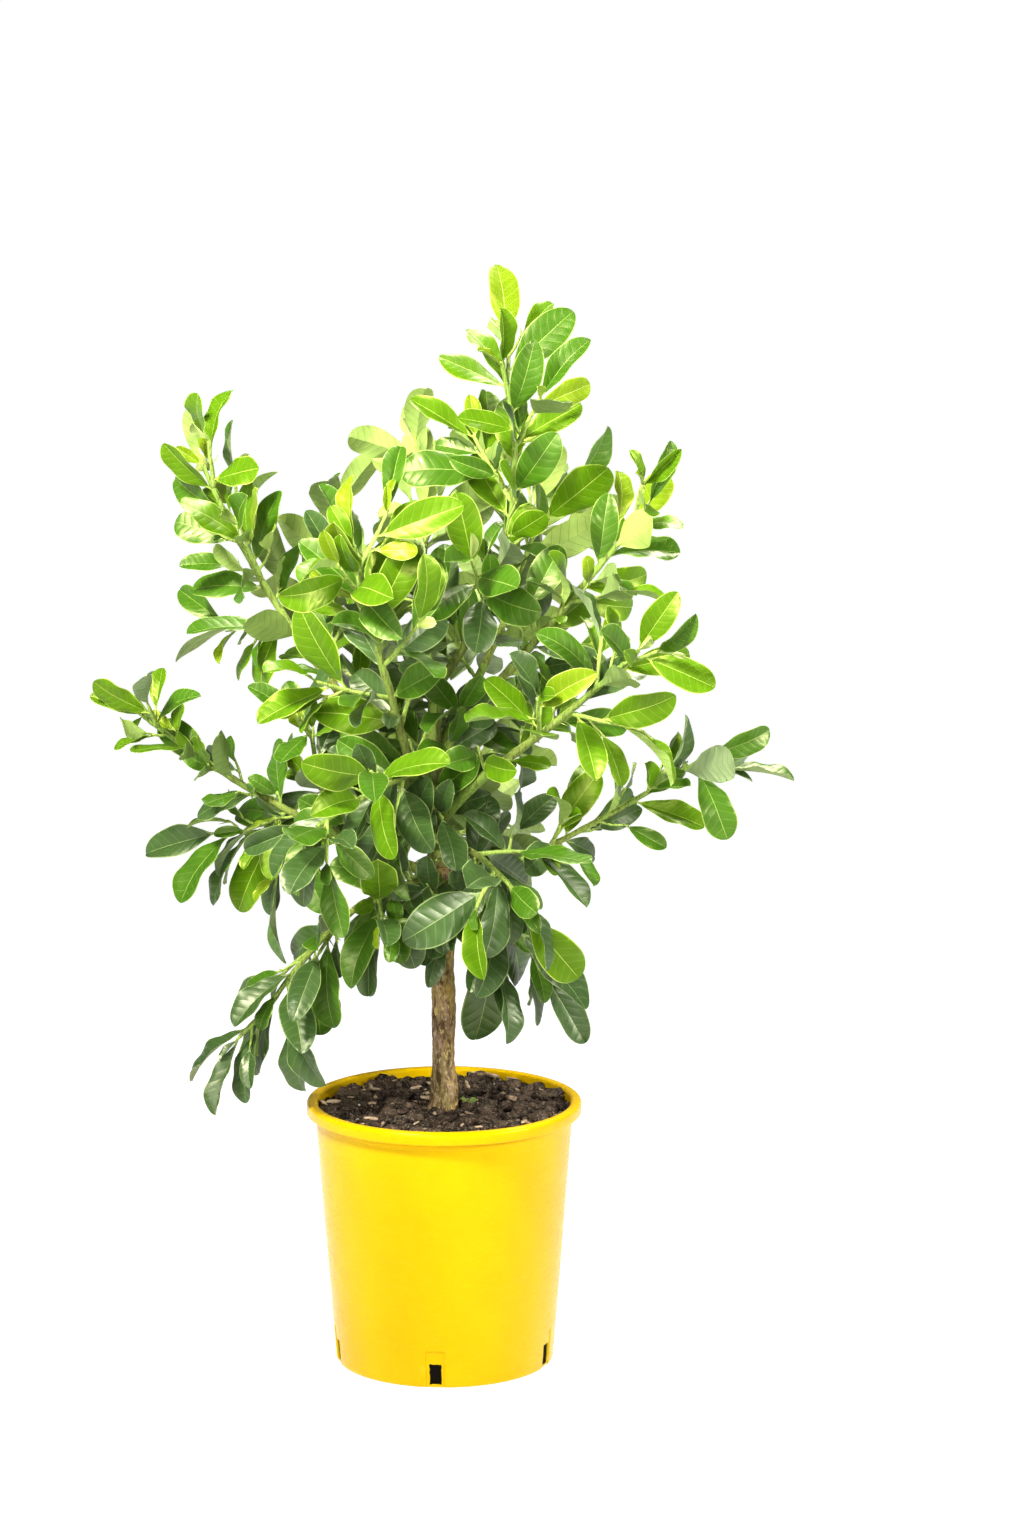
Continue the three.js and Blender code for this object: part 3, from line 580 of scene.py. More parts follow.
# Where the finer growth of a mass may reach, its longest leaf, and how far it hangs
Room = namedtuple("Room", "low high longest_leaf hang")


def room_in(corners, longest_leaf, hang):
    """The room inside a box in metres, give or take a few millimetres."""
    low, high = (np.array(corner) / MM for corner in corners)
    return Room(low - REACH_SLACK, high + REACH_SLACK, longest_leaf, hang)


def fine_leaf(room, shoot, share, opening, around, size, youth):
    """A small leaf of the finer growth, kept where it is clear and inside its room."""
    point, axis = along(shoot["points"], share)
    heading = unit(open_from(axis, opening, around) - room.hang * UP)
    length = room.longest_leaf * size
    leaf = {"root": point, "heading": heading, "face": leaf_face(point, axis, heading), "axis": axis,
            "length": length, "width": length * LEAF["width_share"], "youth": youth, "shoot": shoot}
    spots, radii = blade_beads(leaf)
    inside = np.all(spots > room.low) and np.all(spots < room.high)
    if inside and beads.clear(spots, radii * FINE_BLADE):
        beads.add(spots, radii * FINE_BLADE)
        keep_leaf(leaf)


def grow_small_leaves(room, shoot, kind, seed, place, around):
    """The leaves of a spur or an inner twig, from its middle to its tip."""
    for number in range(kind["leaves"]):
        share = mix(*kind["leaf_at"], number / (kind["leaves"] - 1))
        size = mix(*kind["leaf_share"], chance(seed + number, place, 9))
        opening = mix(*kind["leaf_open"], share)
        fine_leaf(room, shoot, share, opening, number * GOLDEN + around, size, kind["youth"])


def grow_tips(mass, shoots, room):
    """The young leaves that unfold at the tip of each shoot."""
    seed = mass.seed + TIP["seed_step"]
    for shoot_number, shoot in numbered(shoots):
        for number in range(TIP["leaves"]):
            luck = [chance(seed, shoot_number, number * TIP["leaves"] + salt) for salt in range(3)]
            size = mix(*TIP["leaf_share"], luck[0])
            opening = mix(*TIP["open"], luck[1])
            around = number * GOLDEN + 360 * luck[2]
            fine_leaf(room, shoot, TIP["at"], opening, around, size, TIP["youth"])


def grow_spurs(mass, shoots, room):
    """Short side shoots between a shoot's leaves, each with a few small leaves."""
    spacing = mix(*SPUR["spacing"], min(mass.twigs / SPUR["full_twigs"], 1))
    radius = tapered(SPUR["foot_radius"], SPUR["tip_radius"])
    for shoot_number, shoot in numbered(shoots):
        for number in range(int(shoot["length"] / spacing)):
            place = shoot_number * SPUR["per_shoot"] + number
            luck = [chance(mass.seed + SPUR["seed_step"], place, salt) for salt in range(4)]
            share = (number + 0.5 + SPUR["jitter"] * (luck[0] - 0.5)) * spacing / shoot["length"]
            point, axis = along(shoot["points"], min(share, SPUR["last_at"]))
            length = mix(*SPUR["length"], luck[1])
            start = open_from(axis, SPUR["open"], number * GOLDEN + SPUR["turn"] + 360 * luck[2])
            end = start + SPUR["forward"] * axis + (SPUR["lift"] - mass.hang) * UP
            points = grow_axis(point, start, end, length, SPUR["steps"])
            spur = {"points": points, "length": length, "radius": radius, "nodes": []}
            grow_small_leaves(room, spur, SPUR, mass.seed, place, 360 * luck[3])
            if spur["nodes"]:
                spurs.append(spur)


def grow_inner():
    """Twigs with leaves straight from the boughs, where there is room inside the crown."""
    room = room_in((cad_low, cad_high), INNER["longest_leaf"], INNER["hang"])
    radius = tapered(INNER["foot_radius"], INNER["tip_radius"])
    for number, bough in enumerate(BOUGHS):
        limb = limbs[bough.name]
        for place in range(int(bough.length * (1 - INNER["first_at"]) / INNER["spacing"])):
            luck = [chance(number + INNER["first_seed"], place, salt) for salt in range(5)]
            share = INNER["first_at"] + (place + luck[0]) * INNER["spacing"] / bough.length
            point, axis = along(limb["points"], min(share, INNER["last_at"]))
            length = mix(*INNER["length"], luck[1])
            free_foot = float(limb["radius"](share)) + INNER["free_foot"]
            ways = []
            for turn in TWIG["tries"]:
                around = 360 * luck[3] + place * GOLDEN + turn
                start = open_from(axis, mix(*INNER["open"], luck[2]), around)
                ways.append((start, start + INNER["lift"] * UP))
            twig = grow_shoot(ways, point, length, radius, INNER["steps"], free_foot)
            if twig:
                grow_small_leaves(room, twig, INNER, number, place, 360 * luck[4])
                inner.append(twig)


def grow_tree():
    """Grows all in the order of the part's source, and then the finer growth around it."""
    grow_limbs()
    for mass in MASSES:
        stem = grow_stem(mass)
        twigs = [grow_twig(stem, mass, number) for number in range(mass.twigs)]
        sprays.append((mass, [stem, *twigs]))
    for mass, shoots in sprays:
        grow_leaves(mass, shoots)
    grow_inner()
    for mass, shoots in sprays:
        room = room_in(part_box(mass.name), mass.longest_leaf, mass.hang)
        grow_tips(mass, shoots, room)
        grow_spurs(mass, shoots, room)


grow_tree()


# Meshes


def grid_faces(rows, columns):
    """Quads between the neighbours of a grid whose last column joins its first, facing
    along rows x columns."""
    row, column = np.mgrid[0:rows - 1, 0:columns]
    low = row * columns + column
    high = row * columns + (column + 1) % columns
    return np.stack([low, low + columns, high + columns, high], axis=-1).reshape(-1, 4)


class Shape:
    """Vertices in millimetres, arrays of faces of so many corners, and their materials."""

    def __init__(self):
        self.vertices = []
        self.faces = []
        self.slots = []
        self.ages = []
        self.size = 0

    def add(self, vertices, faces, slots=0, age=0.0):
        vertices = np.asarray(vertices, float).reshape(-1, 3)
        self.faces.append(np.asarray(faces) + self.size)
        self.slots.append(np.broadcast_to(slots, len(faces)))
        self.vertices.append(vertices)
        self.ages.append(np.broadcast_to(age, len(vertices)))
        self.size += len(vertices)

    def more(self, faces, slots=0):
        """Further faces on the vertices that were added last."""
        start = self.size - len(self.vertices[-1])
        self.faces.append(np.asarray(faces) + start)
        self.slots.append(np.broadcast_to(slots, len(faces)))

    def close_ends(self, rows, columns):
        """Flat faces over the first and the last ring of a grid that was added last."""
        ring = np.arange(columns)[None]
        self.more(ring)
        self.more(ring[:, ::-1] + (rows - 1) * columns)

    def build(self, name, materials, slot, nodes, crease=None, age=False):
        """Makes the object, in metres, and ties it to the frame."""
        vertices = np.concatenate(self.vertices) * MM
        corners = np.concatenate([faces.ravel() for faces in self.faces])
        totals = np.concatenate([np.full(len(faces), faces.shape[1]) for faces in self.faces])
        mesh = bpy.data.meshes.new(name)
        mesh.vertices.add(len(vertices))
        mesh.vertices.foreach_set("co", vertices.ravel())
        mesh.loops.add(len(corners))
        mesh.loops.foreach_set("vertex_index", corners)
        mesh.polygons.add(len(totals))
        mesh.polygons.foreach_set("loop_start", np.cumsum(totals) - totals)
        mesh.polygons.foreach_set("material_index", np.concatenate(self.slots))
        if age:
            layer = mesh.attributes.new("age", "FLOAT", "POINT")
            layer.data.foreach_set("value", np.concatenate(self.ages))
        mesh.update(calc_edges=True)
        mesh.validate()
        mesh.shade_smooth()
        if crease:
            mesh.set_sharp_from_angle(angle=math.radians(crease))
        for material in materials:
            mesh.materials.append(material)
        piece = bpy.data.objects.new(name, mesh)
        bpy.context.scene.collection.objects.link(piece)
        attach(piece, "root")
        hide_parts(*nodes)
        return piece


def add_tube(shape, points, radii, sides, age=0.0):
    """A closed tube: a ring of the given radii round each point, its frame carried along
    so that it doesn't twist, and a flat cap at both ends."""
    headings = unit(np.gradient(points, axis=0))
    across = np.empty_like(points)
    side = square_to(headings[0])[0]
    for index, heading in enumerate(headings):
        side = unit(side - side.dot(heading) * heading)
        across[index] = side
    over = np.cross(headings, across)
    turn = -FULL_TURN * np.arange(sides) / sides
    rings = np.broadcast_to(np.asarray(radii, float).reshape(len(points), -1), (len(points), sides))
    spots = points[:, None] + rings[..., None] * (
        np.cos(turn)[:, None] * across[:, None] + np.sin(turn)[:, None] * over[:, None])
    ages = np.repeat(np.broadcast_to(age, len(points)), sides)
    shape.add(spots, grid_faces(len(points), sides), 0, ages)
    shape.close_ends(len(points), sides)


def smooth_noise(first, second, seed, period=None):
    """Smooth random numbers from 0 to 1 over a plane: chance at whole numbers, eased between
    them, and repeating along the first direction where a period is given."""
    low_first, low_second = np.floor(first), np.floor(second)
    parts = (first - low_first, second - low_second)
    ease_first, ease_second = (part * part * (3 - 2 * part) for part in parts)

    def corner(shift_first, shift_second):
        column = low_first + shift_first
        if period:
            column = column % period
        return chance(column + 17, low_second + shift_second + 5, seed)

    near = mix(corner(0, 0), corner(1, 0), ease_first)
    far = mix(corner(0, 1), corner(1, 1), ease_first)
    return mix(near, far, ease_second)


# Materials


def colour(text):
    """The linear colour of a web colour."""
    values = [int(text[index:index + 2], 16) / 255 for index in (1, 3, 5)]
    linear = (value / 12.92 if value <= 0.04045 else ((value + 0.055) / 1.055) ** 2.4 for value in values)
    return (*linear, 1)


class Value:
    """One socket's output, with the arithmetic that adds Math nodes."""

    def __init__(self, shader, socket):
        self.shader = shader
        self.socket = socket

    def __add__(self, other):
        return self.shader.math("ADD", self, other)

    def __sub__(self, other):
        return self.shader.math("SUBTRACT", self, other)

    def __rsub__(self, other):
        return self.shader.math("SUBTRACT", other, self)

    def __mul__(self, other):
        return self.shader.math("MULTIPLY", self, other)

    __radd__ = __add__
    __rmul__ = __mul__


class Shader:
    """One material: its shader's constants, and the nodes that vary over the surface."""

    def __init__(self, name, **constants):
        self.material = bpy.data.materials.new(name)
        self.material.use_nodes = True
        self.nodes = self.material.node_tree.nodes
        self.links = self.material.node_tree.links
        self.principled = self.nodes["Principled BSDF"]
        for name, value in constants.items():
            socket = name.replace("_", " ").title().replace("Ior", "IOR")
            self.principled.inputs[socket].default_value = value

    def node(self, kind, settings=(), inputs=(), output=0):
        """Any node: its settings first, then its sockets' values or links."""
        made = self.nodes.new(kind)
        for name, value in dict(settings).items():
            setattr(made, name, value)
        for socket, value in dict(inputs).items():
            self.feed(made.inputs[socket], value)
        return Value(self, made.outputs[output])

    def feed(self, socket, value):
        if isinstance(value, Value):
            self.links.new(value.socket, socket)
        else:
            socket.default_value = value

    def math(self, operation, first, second):
        return self.node("ShaderNodeMath", {"operation": operation}, {0: first, 1: second})

    def place(self, stretch=(1, 1, 1)):
        """Object coordinates, stretched."""
        spot = self.node("ShaderNodeTexCoord", output="Object")
        return self.node("ShaderNodeMapping", (), {"Vector": spot, "Scale": stretch})

    def noise(self, scale, detail=3.0, stretch=(1, 1, 1), roughness=0.55):
        inputs = {"Vector": self.place(stretch), "Scale": scale, "Detail": detail, "Roughness": roughness}
        return self.node("ShaderNodeTexNoise", (), inputs)

    def limit(self, value, low, high, new_low=0.0, new_high=1.0):
        """A value's stretch from low to high, made new_low to new_high and cut off there."""
        inputs = {"Value": value, "From Min": low, "From Max": high, "To Min": new_low, "To Max": new_high}
        return self.node("ShaderNodeMapRange", {"clamp": True}, inputs)

    def blend(self, factor, first, second):
        settings = {"data_type": "RGBA", "clamp_factor": True}
        return self.node("ShaderNodeMix", settings, {0: factor, 6: first, 7: second}, 2)

    def attribute(self, name):
        return self.node("ShaderNodeAttribute", {"attribute_name": name}, (), "Fac")

    def bump(self, height, distance, strength=1.0):
        inputs = {"Height": height, "Distance": distance, "Strength": strength}
        return self.node("ShaderNodeBump", (), inputs)

    def surface(self, **varying):
        for socket, value in varying.items():
            self.feed(self.principled.inputs[socket.replace("_", " ").title()], value)
        return self.material


def leaf_material(name, tone, roughness, glow, gloss):
    """Leaf: waxy gloss, light let through the blade, and a mottling too faint to have a place."""
    shader = Shader(name, subsurface_weight=glow, subsurface_radius=(0.7, 1.0, 0.1), subsurface_scale=0.002,
                    specular_ior_level=gloss[0], specular_tint=(1, 1, gloss[1], 1))
    mottle = shader.limit(shader.noise(55, 2), 0.35, 0.65)
    return shader.surface(
        base_color=shader.blend(mottle, tuple(tone * (0.84, 0.86, 0.84, 1)), tuple(tone)),
        roughness=shader.limit(shader.noise(140, 2), 0.3, 0.7, roughness - 0.05, roughness + 0.07))


def leaf_materials(tint):
    """The materials of one tint, in the order of the slots of leaf_shape, with their
    roughness."""
    upper, under, rib = (np.array(colour(tone)) for tone in (tint.upper, tint.under, tint.rib))
    kinds = [
        ("upper", upper, 0.37),
        ("under", under, 0.55),
        ("rib", mix(upper, rib, 0.75), 0.45),
        ("vein", mix(upper, rib, tint.veining), 0.36),
        ("under_vein", mix(under, upper, 0.55), 0.55),
    ]
    return [leaf_material(f"leaf_{tint.name}_{kind}", tone, roughness, tint.glow, tint.gloss)
            for kind, tone, roughness in kinds]


def wood_material(name, young, old, fleck, relief, depth, patchy):
    """Bark: the young and the old tone by the limb's age, broken by patches and by streaks
    along it, with pale flecks, a dark grain, and relief from the same streaks."""
    shader = Shader(name, specular_ior_level=0.3)
    streaks = shader.noise(relief, 6, (1, 1, 0.3), 0.66)
    patches = shader.noise(relief * 0.24, 4, (1, 1, 0.6))
    worn = (streaks - 0.5) * 0.5 + (patches - 0.5) * patchy
    age = shader.limit(shader.attribute("age") + worn, 0.05, 0.95)
    base = shader.blend(age, colour(young), colour(old))
    grain = shader.limit(shader.noise(relief * 0.9, 6, (1, 1, 0.1), 0.7), 0.5, 0.62)
    darker = shader.blend(grain * 0.7, base, colour("#4c3c1c"))
    flecks = shader.limit(shader.noise(relief * 1.3, 4, (1, 1, 0.3)), 0.58, 0.66) * 0.75
    return shader.surface(
        base_color=shader.blend(flecks * shader.attribute("age"), darker, colour(fleck)),
        roughness=shader.limit(streaks, 0.3, 0.7, 0.62, 0.9),
        normal=shader.bump(streaks + grain * -0.6, depth))


def trunk_material():
    """Old bark: golden, greyish and olive patches, dark stains along it, a mottling, and
    short pale cracks where a noise crosses its middle."""
    shader = Shader("bark_old", specular_ior_level=0.3)
    patches = shader.noise(40, 3, (1, 1, 0.4))
    stains = shader.noise(95, 5, (1, 1, 0.22), 0.62)
    mottle = shader.noise(330, 5, (1, 1, 0.4), 0.7)
    base = shader.blend(shader.limit(patches, 0.42, 0.58), colour("#b0904a"), colour("#a28468"))
    olive = shader.limit(shader.noise(30, 3, (1, 1, 0.6)), 0.48, 0.6) * 0.6
    base = shader.blend(olive, base, colour("#7d7428"))
    base = shader.blend(shader.limit(stains, 0.47, 0.58) * 0.9, base, colour("#45300f"))
    base = shader.blend(shader.limit(mottle, 0.53, 0.64) * 0.7, base, colour("#47341a"))
    base = shader.blend(shader.limit(mottle, 0.45, 0.35) * 0.7, base, colour("#dac296"))
    line = shader.noise(120, 4, (1, 1, 0.3), 0.6) - 0.5
    crack = shader.limit(line * line, 0.003, 0.0) * shader.limit(shader.noise(80, 2), 0.52, 0.6)
    return shader.surface(
        base_color=shader.blend(crack * 0.85, base, colour("#e2c67c")),
        roughness=shader.limit(mottle, 0.3, 0.7, 0.62, 0.9),
        normal=shader.bump(mottle * 0.6 + stains * -1.0 + crack * -0.4, 0.0022))


def pot_material():
    """Glossy moulded plastic that lets a little light through: a warm yellow with paler and
    deeper blotches, faint scuffs in its gloss, and the slight unevenness of the mould."""
    shader = Shader("pot_yellow", specular_ior_level=0.34, specular_tint=(1, 0.97, 0.2, 1),
                    subsurface_weight=0.3, subsurface_radius=(1.0, 0.8, 0.1), subsurface_scale=0.006)
    blotches = shader.noise(9, 4, (1, 1, 0.7), 0.6)
    base = shader.blend(shader.limit(blotches, 0.3, 0.7), colour("#deb000"), colour("#e6bc00"))
    specks = shader.limit(shader.noise(70, 2), 0.66, 0.74) * 0.3
    scuffs = shader.noise(28, 5, (1, 1, 2.5), 0.65)
    return shader.surface(
        base_color=shader.blend(specks, base, colour("#f0c52a")),
        roughness=shader.limit(scuffs, 0.3, 0.75, 0.2, 0.34),
        normal=shader.bump(shader.noise(16, 3), 0.0012, 0.35))


def soil_material():
    """Peaty soil: dark crumbs, with browner and drier patches, and painted shade that makes it darker in
    its hollows and down its sides.
    """
    shader = Shader("soil_dark", specular_ior_level=0.12)
    patches = shader.noise(45, 5)
    grains = shader.noise(420, 6, (1, 1, 1), 0.7)
    dry = shader.blend(shader.limit(patches, 0.4, 0.65), colour("#1c140e"), colour("#574638"))
    worn = shader.blend(shader.limit(grains, 0.5, 0.7), dry, colour("#948472"))
    # Painted light and shade from the ages: near black in the hollows and down the sides, the lit tone on
    # what stands higher and on the clods
    return shader.surface(
        base_color=shader.blend(shader.limit(shader.attribute("age"), 0.3, 0.62), colour("#0c0704"), worn),
        roughness=shader.limit(grains, 0.3, 0.7, 0.8, 1.0),
        normal=shader.bump(grains, 0.0016))


def grain_material(name, low, high):
    """Wood splinters or grains: dull, from one tone to another."""
    shader = Shader(name, specular_ior_level=0.3)
    tone = shader.limit(shader.noise(160, 4), 0.35, 0.65)
    return shader.surface(
        base_color=shader.blend(tone, colour(low), colour(high)),
        roughness=shader.limit(shader.noise(300, 3), 0.3, 0.7, 0.75, 0.95),
        normal=shader.bump(shader.noise(500, 4), 0.0006))


# Wood

wood = []


def build_trunk(material):
    """The trunk: its axis sunk a little in the soil, a flared foot, slow bulges, and long
    shallow fissures that open and close along it."""
    bark = TRUNK_BARK
    limb = limbs["trunk"]
    points = rounded(limb["points"], bark["rows"])
    share = np.linspace(0, 1, bark["rows"])[:, None]
    turn = np.arange(bark["sides"])[None] / bark["sides"]
    height = share * TRUNK["length"]
    radii = limb["radius"](share) + TRUNK["flare"] * np.exp(-height / TRUNK["flare_reach"])
    sway = np.sin(2 * FULL_TURN * turn + share * bark["sway_turns"]) * np.sin(share * bark["sway_waves"])
    radii = radii + bark["sway"] * sway
    fissures = 0
    for columns, run, depth in bark["fissures"]:
        wander = bark["wander"] * smooth_noise(turn * 3, height / bark["wander_length"], columns, 3)
        place = (turn + wander / columns) * columns
        ridge = abs(2 * smooth_noise(place, height / run, columns + 3, columns) - 1)
        fissures = fissures - depth * (1 - ridge) ** 2
    sides = bark["bulge_sides"]
    bulges = smooth_noise(turn * sides, height / bark["bulge_length"], 71, sides) - 0.5
    bulges = bark["bulge"] * bulges
    points = np.vstack([points[0] - UP * bark["sunk"], points])
    foot_ring = (radii + bulges)[:1] + bark["sunk_swell"]
    radii = np.vstack([foot_ring, radii + fissures + bulges + bark["swell"]])
    shape = Shape()
    add_tube(shape, points, radii, bark["sides"])
    wood.append(shape.build("trunk_bark", [material], "bark", ["trunk"]))


def bough_age(bough):
    """How old a bough's bark is at its foot, from 0 to 1, and how fast it grows younger: the
    leader's is the oldest, and that of boughs on other boughs the youngest."""
    if bough.name == "leader":
        return BOUGH_BARK["leader_age"], BOUGH_BARK["leader_fall"]
    kind = "first_age" if bough.parent in ("trunk", "leader") else "later_age"
    return BOUGH_BARK[kind], BOUGH_BARK["fall"]


def build_boughs(material):
    """The leader and the boughs: a collar where each leaves its parent, slow bulges, leaf
    scars, and a tip that goes on under the stem of its mass."""
    bark = BOUGH_BARK
    for number, bough in enumerate(BOUGHS):
        limb = limbs[bough.name]
        rows = int(bough.length / bark["row_length"])
        points = rounded(limb["points"], rows)
        share = np.linspace(0, 1, rows)[:, None]
        turn = np.arange(bark["sides"])[None] / bark["sides"]
        away = share * bough.length
        collar = np.exp(-((away - bark["collar_at"]) / bark["collar_length"]) ** 2)
        radii = limb["radius"](share) * (1 + bark["collar"] * collar)
        bulges = smooth_noise(turn * 4, away / bark["bulge_length"], number + 3, 4) - 0.5
        radii = radii * (1 + bark["bulge"] * bulges)
        around = turn * bark["ridges"]
        ridges = smooth_noise(around, away / bark["ridge_length"], number + 40, bark["ridges"])
        radii = radii - bark["ridge"] * ridges
        for scar in range(int(bough.length / bark["scar_spacing"])):
            place = (scar + 0.5 + 0.5 * chance(number, scar, 2)) * bark["scar_spacing"]
            apart = (turn - chance(number, scar, 4) + 0.5) % 1 - 0.5
            near = ((away - place) / bark["scar_length"]) ** 2
            radii = radii + bark["scar"] * np.exp(-near - (apart / bark["scar_width"]) ** 2)
        foot_age, fall = bough_age(bough)
        age = np.clip(foot_age - share[:, 0] * fall, 0, 1)
        shape = Shape()
        add_tube(shape, points, radii, bark["sides"], age)
        wood.append(shape.build(f"{bough.name}_bark", [material], "green_wood", [bough.name], age=True))


def add_shoot(shape, shoot, sides):
    """A stem, twig or spur: it tapers, swells where leaves grow, and sways if it is long."""
    length = shoot["length"]
    rows = max(SHOOT["least_rows"], int(length / SHOOT["row_length"]))
    share = np.linspace(0, 1, rows)
    radii = shoot["radius"](share)
    for node in shoot["nodes"]:
        swell = np.exp(-((share - node) * length / SHOOT["node_length"]) ** 2)
        radii = radii * (1 + SHOOT["node_swell"] * swell)
    radii[-1] *= SHOOT["blunt"]
    points = rounded(shoot["points"], rows)
    if length > SHOOT["sway_from"]:
        sway = np.sin(share * length / SHOOT["sway_length"] * math.pi)[:, None] * SHOOT["sway"]
        sideways = square_to(unit(points[-1] - points[0]))[0]
        points = points + sway * sideways * np.sin(np.pi * share)[:, None]
    add_tube(shape, points, radii, sides, SHOOT["age"] * (1 - share))


def build_shoots(material, young_material):
    """The stems in one piece, and all twigs and spurs in another."""
    stems, fine = Shape(), Shape()
    for _, shoots in sprays:
        for number, shoot in numbered(shoots):
            if number:
                add_shoot(fine, shoot, SHOOT["twig_sides"])
            else:
                add_shoot(stems, shoot, SHOOT["stem_sides"])
    for twig in inner:
        add_shoot(fine, twig, SHOOT["twig_sides"])
    for spur in spurs:
        add_shoot(fine, spur, SHOOT["spur_sides"])
    wood.append(stems.build("stems", [material], "green_wood", FOLIAGE, age=True))
    wood.append(fine.build("twigs", [young_material], "green_wood", FOLIAGE, age=True))


def build_thorns_and_buds(material):
    """A slim thorn beside some leaves, and a small bud in the angle of each."""
    thorns, buds = Shape(), Shape()
    reach = np.linspace(0, 1, BUD["rings"])[:, None]
    bud_radii = BUD["radius"] * np.sin(np.pi * mix(*BUD["ends"], reach))
    thorn_radii = THORN["radius"] * (1 - reach) ** THORN["taper"] + THORN["tip"]
    for number, leaf in enumerate(leaves):
        axis, heading = leaf["axis"], leaf["heading"]
        way = unit(unit(heading) + BUD["forward"] * axis)
        foot = leaf["root"] + BUD["lift"] * way
        add_tube(buds, foot + reach * BUD["length"] * way, bud_radii, BUD["sides"])
        if leaf["youth"] < THORN["youngest"] and chance(number, 5, 5) < THORN["share"]:
            side = unit(np.cross(axis, heading)) * (1 if chance(number, 6, 5) < 0.5 else -1)
            way = unit(heading * THORN["out"] + side * THORN["aside"] + axis * THORN["forward"])
            length = mix(*THORN["length"], chance(number, 7, 5))
            add_tube(thorns, leaf["root"] + reach * length * way, thorn_radii, BUD["sides"])
    thorns.build("thorns", [material], "green_wood", FOLIAGE)
    buds.build("buds", [material], "green_wood", FOLIAGE)


# Leaves


def leaf_stations():
    """Shares of a leaf's length, and which of them bound a vein or top a bulge: the stalk,
    both sides of each vein with a bulge between veins, and the tip."""
    veins = np.linspace(BLADE["veins_from"], BLADE["veins_to"], BLADE["vein_pairs"])
    step = veins[1] - veins[0]
    blade = veins[:, None] + np.array([0, BLADE["vein_width"], BLADE["bulge_at"] * step])
    stalk, tip = BLADE["stalk_rings"], BLADE["tip_rings"]
    shares = np.concatenate([stalk, blade.ravel(), tip])
    kinds = np.concatenate([np.zeros(len(stalk)), np.tile([-1, -1, 1], len(veins)), np.zeros(len(tip))])
    return shares, kinds


def leaf_outline(share, luck):
    """The half width of a leaf, from 0 to 1: a quarter sine up to its widest place past the
    middle, then a flattened power curve down to the blunt tip."""
    reach = np.clip((share - LEAF["stalk_share"]) / (1 - LEAF["stalk_share"]), 0, 1)
    widest = mix(*BLADE["widest"], luck)
    rise = np.sin(0.5 * np.pi * np.minimum(reach / widest, 1)) ** BLADE["rise_power"]
    past = np.maximum((reach - widest) / (1 - widest), 0)
    return rise * (1 - past ** mix(*BLADE["tip_power"], luck)) ** BLADE["tip_round"]


def leaf_vertices(group, vein_depth):
    """The rings of many leaves at once, as an array of leaf, station, corner and axis.

    At a share s of the length and a share t of the half width, the blade stands at
    s + slant |t| sin(pi s) along its heading, t times the half width across, folded up by its
    fold, bent down at the margins, arched by 4 a s(1 - s), curled at the tip, waved along
    the margin, pressed in at each vein and raised between veins."""
    def column(name):
        return np.array([leaf[name] for leaf in group])[:, None, None]

    root, heading, face = (np.array([leaf[name] for leaf in group])[:, None, None, :]
                           for name in ("root", "heading", "face"))
    length, width, luck = column("length"), column("width"), column("luck")
    fold, arch, twist, curl = column("fold"), column("arch"), column("twist"), column("curl")
    stations, kinds = leaf_stations()
    share = stations[None, :, None]
    margin, half, rib = BLADE["margin"], BLADE["half"], BLADE["rib"]
    side = np.array([-margin, -half, -rib, rib, half, margin, 1, half, 0, -half, -1])[None, None, :]
    under = (np.arange(RING) >= UPPER_CORNERS)[None, None, :]
    stalk = np.clip(1 - (share - BLADE["stalk_end"]) / BLADE["stalk_fade"], 0, 1)
    shifted = share + BLADE["vein_slant"] * abs(side) * np.sin(np.pi * share) * (1 - stalk)
    shape = leaf_outline(shifted, luck)
    half_width = 0.5 * BLADE["slimmer"] * width * shape
    half_width = np.maximum(half_width, mix(BLADE["least_half_width"], BLADE["stalk_radius"], stalk))
    out = side * half_width
    thickness = mix(BLADE["thickness"], BLADE["stalk_thickness"], stalk)
    thickness = thickness * (1 - BLADE["edge_thinning"] * abs(side) ** 3)
    depth = np.where(under, -0.5, 0.5) * thickness
    near_rib = np.maximum(1 - BLADE["rib_width"] * abs(side), 0)
    depth = depth - under * near_rib * BLADE["rib_depth"] * (1 - share)
    relief = 0.5 * kinds[None, :, None] * vein_depth * np.interp(abs(side), VEIN_PLACES, VEIN_SHARES)
    size = np.minimum(length / BLADE["full_relief"], BLADE["most_relief"])
    relief = relief * size ** BLADE["relief_power"]
    phase = shifted * mix(*BLADE["waves"], luck) + BLADE["wave_shift"] * luck
    wave = np.sin(FULL_TURN * phase + np.sign(side))
    wave = wave * side ** 2 * half_width * BLADE["wave"] * (1 - stalk)
    bend = 4 * arch * length * shifted * (1 - shifted)
    bend = bend - curl * length * np.clip(shifted - BLADE["curl_from"], 0, 1) ** 2
    keel = LEAF["keel"] * (1 - abs(side)) * (1 - stalk) * BLADE["keel_share"]
    rise = depth + relief + wave + bend - keel
    rise = rise + np.abs(out) * np.sin(fold) - BLADE["droop"] * half_width * side ** 2 * (1 - stalk)
    out = out * np.cos(fold)
    turn = twist * shifted
    across = np.cross(face, heading)
    reach = (shifted * length)[..., None]
    sideways = (out * np.cos(turn) - rise * np.sin(turn))[..., None]
    upwards = (out * np.sin(turn) + rise * np.cos(turn))[..., None]
    return root + reach * heading + sideways * across + upwards * face


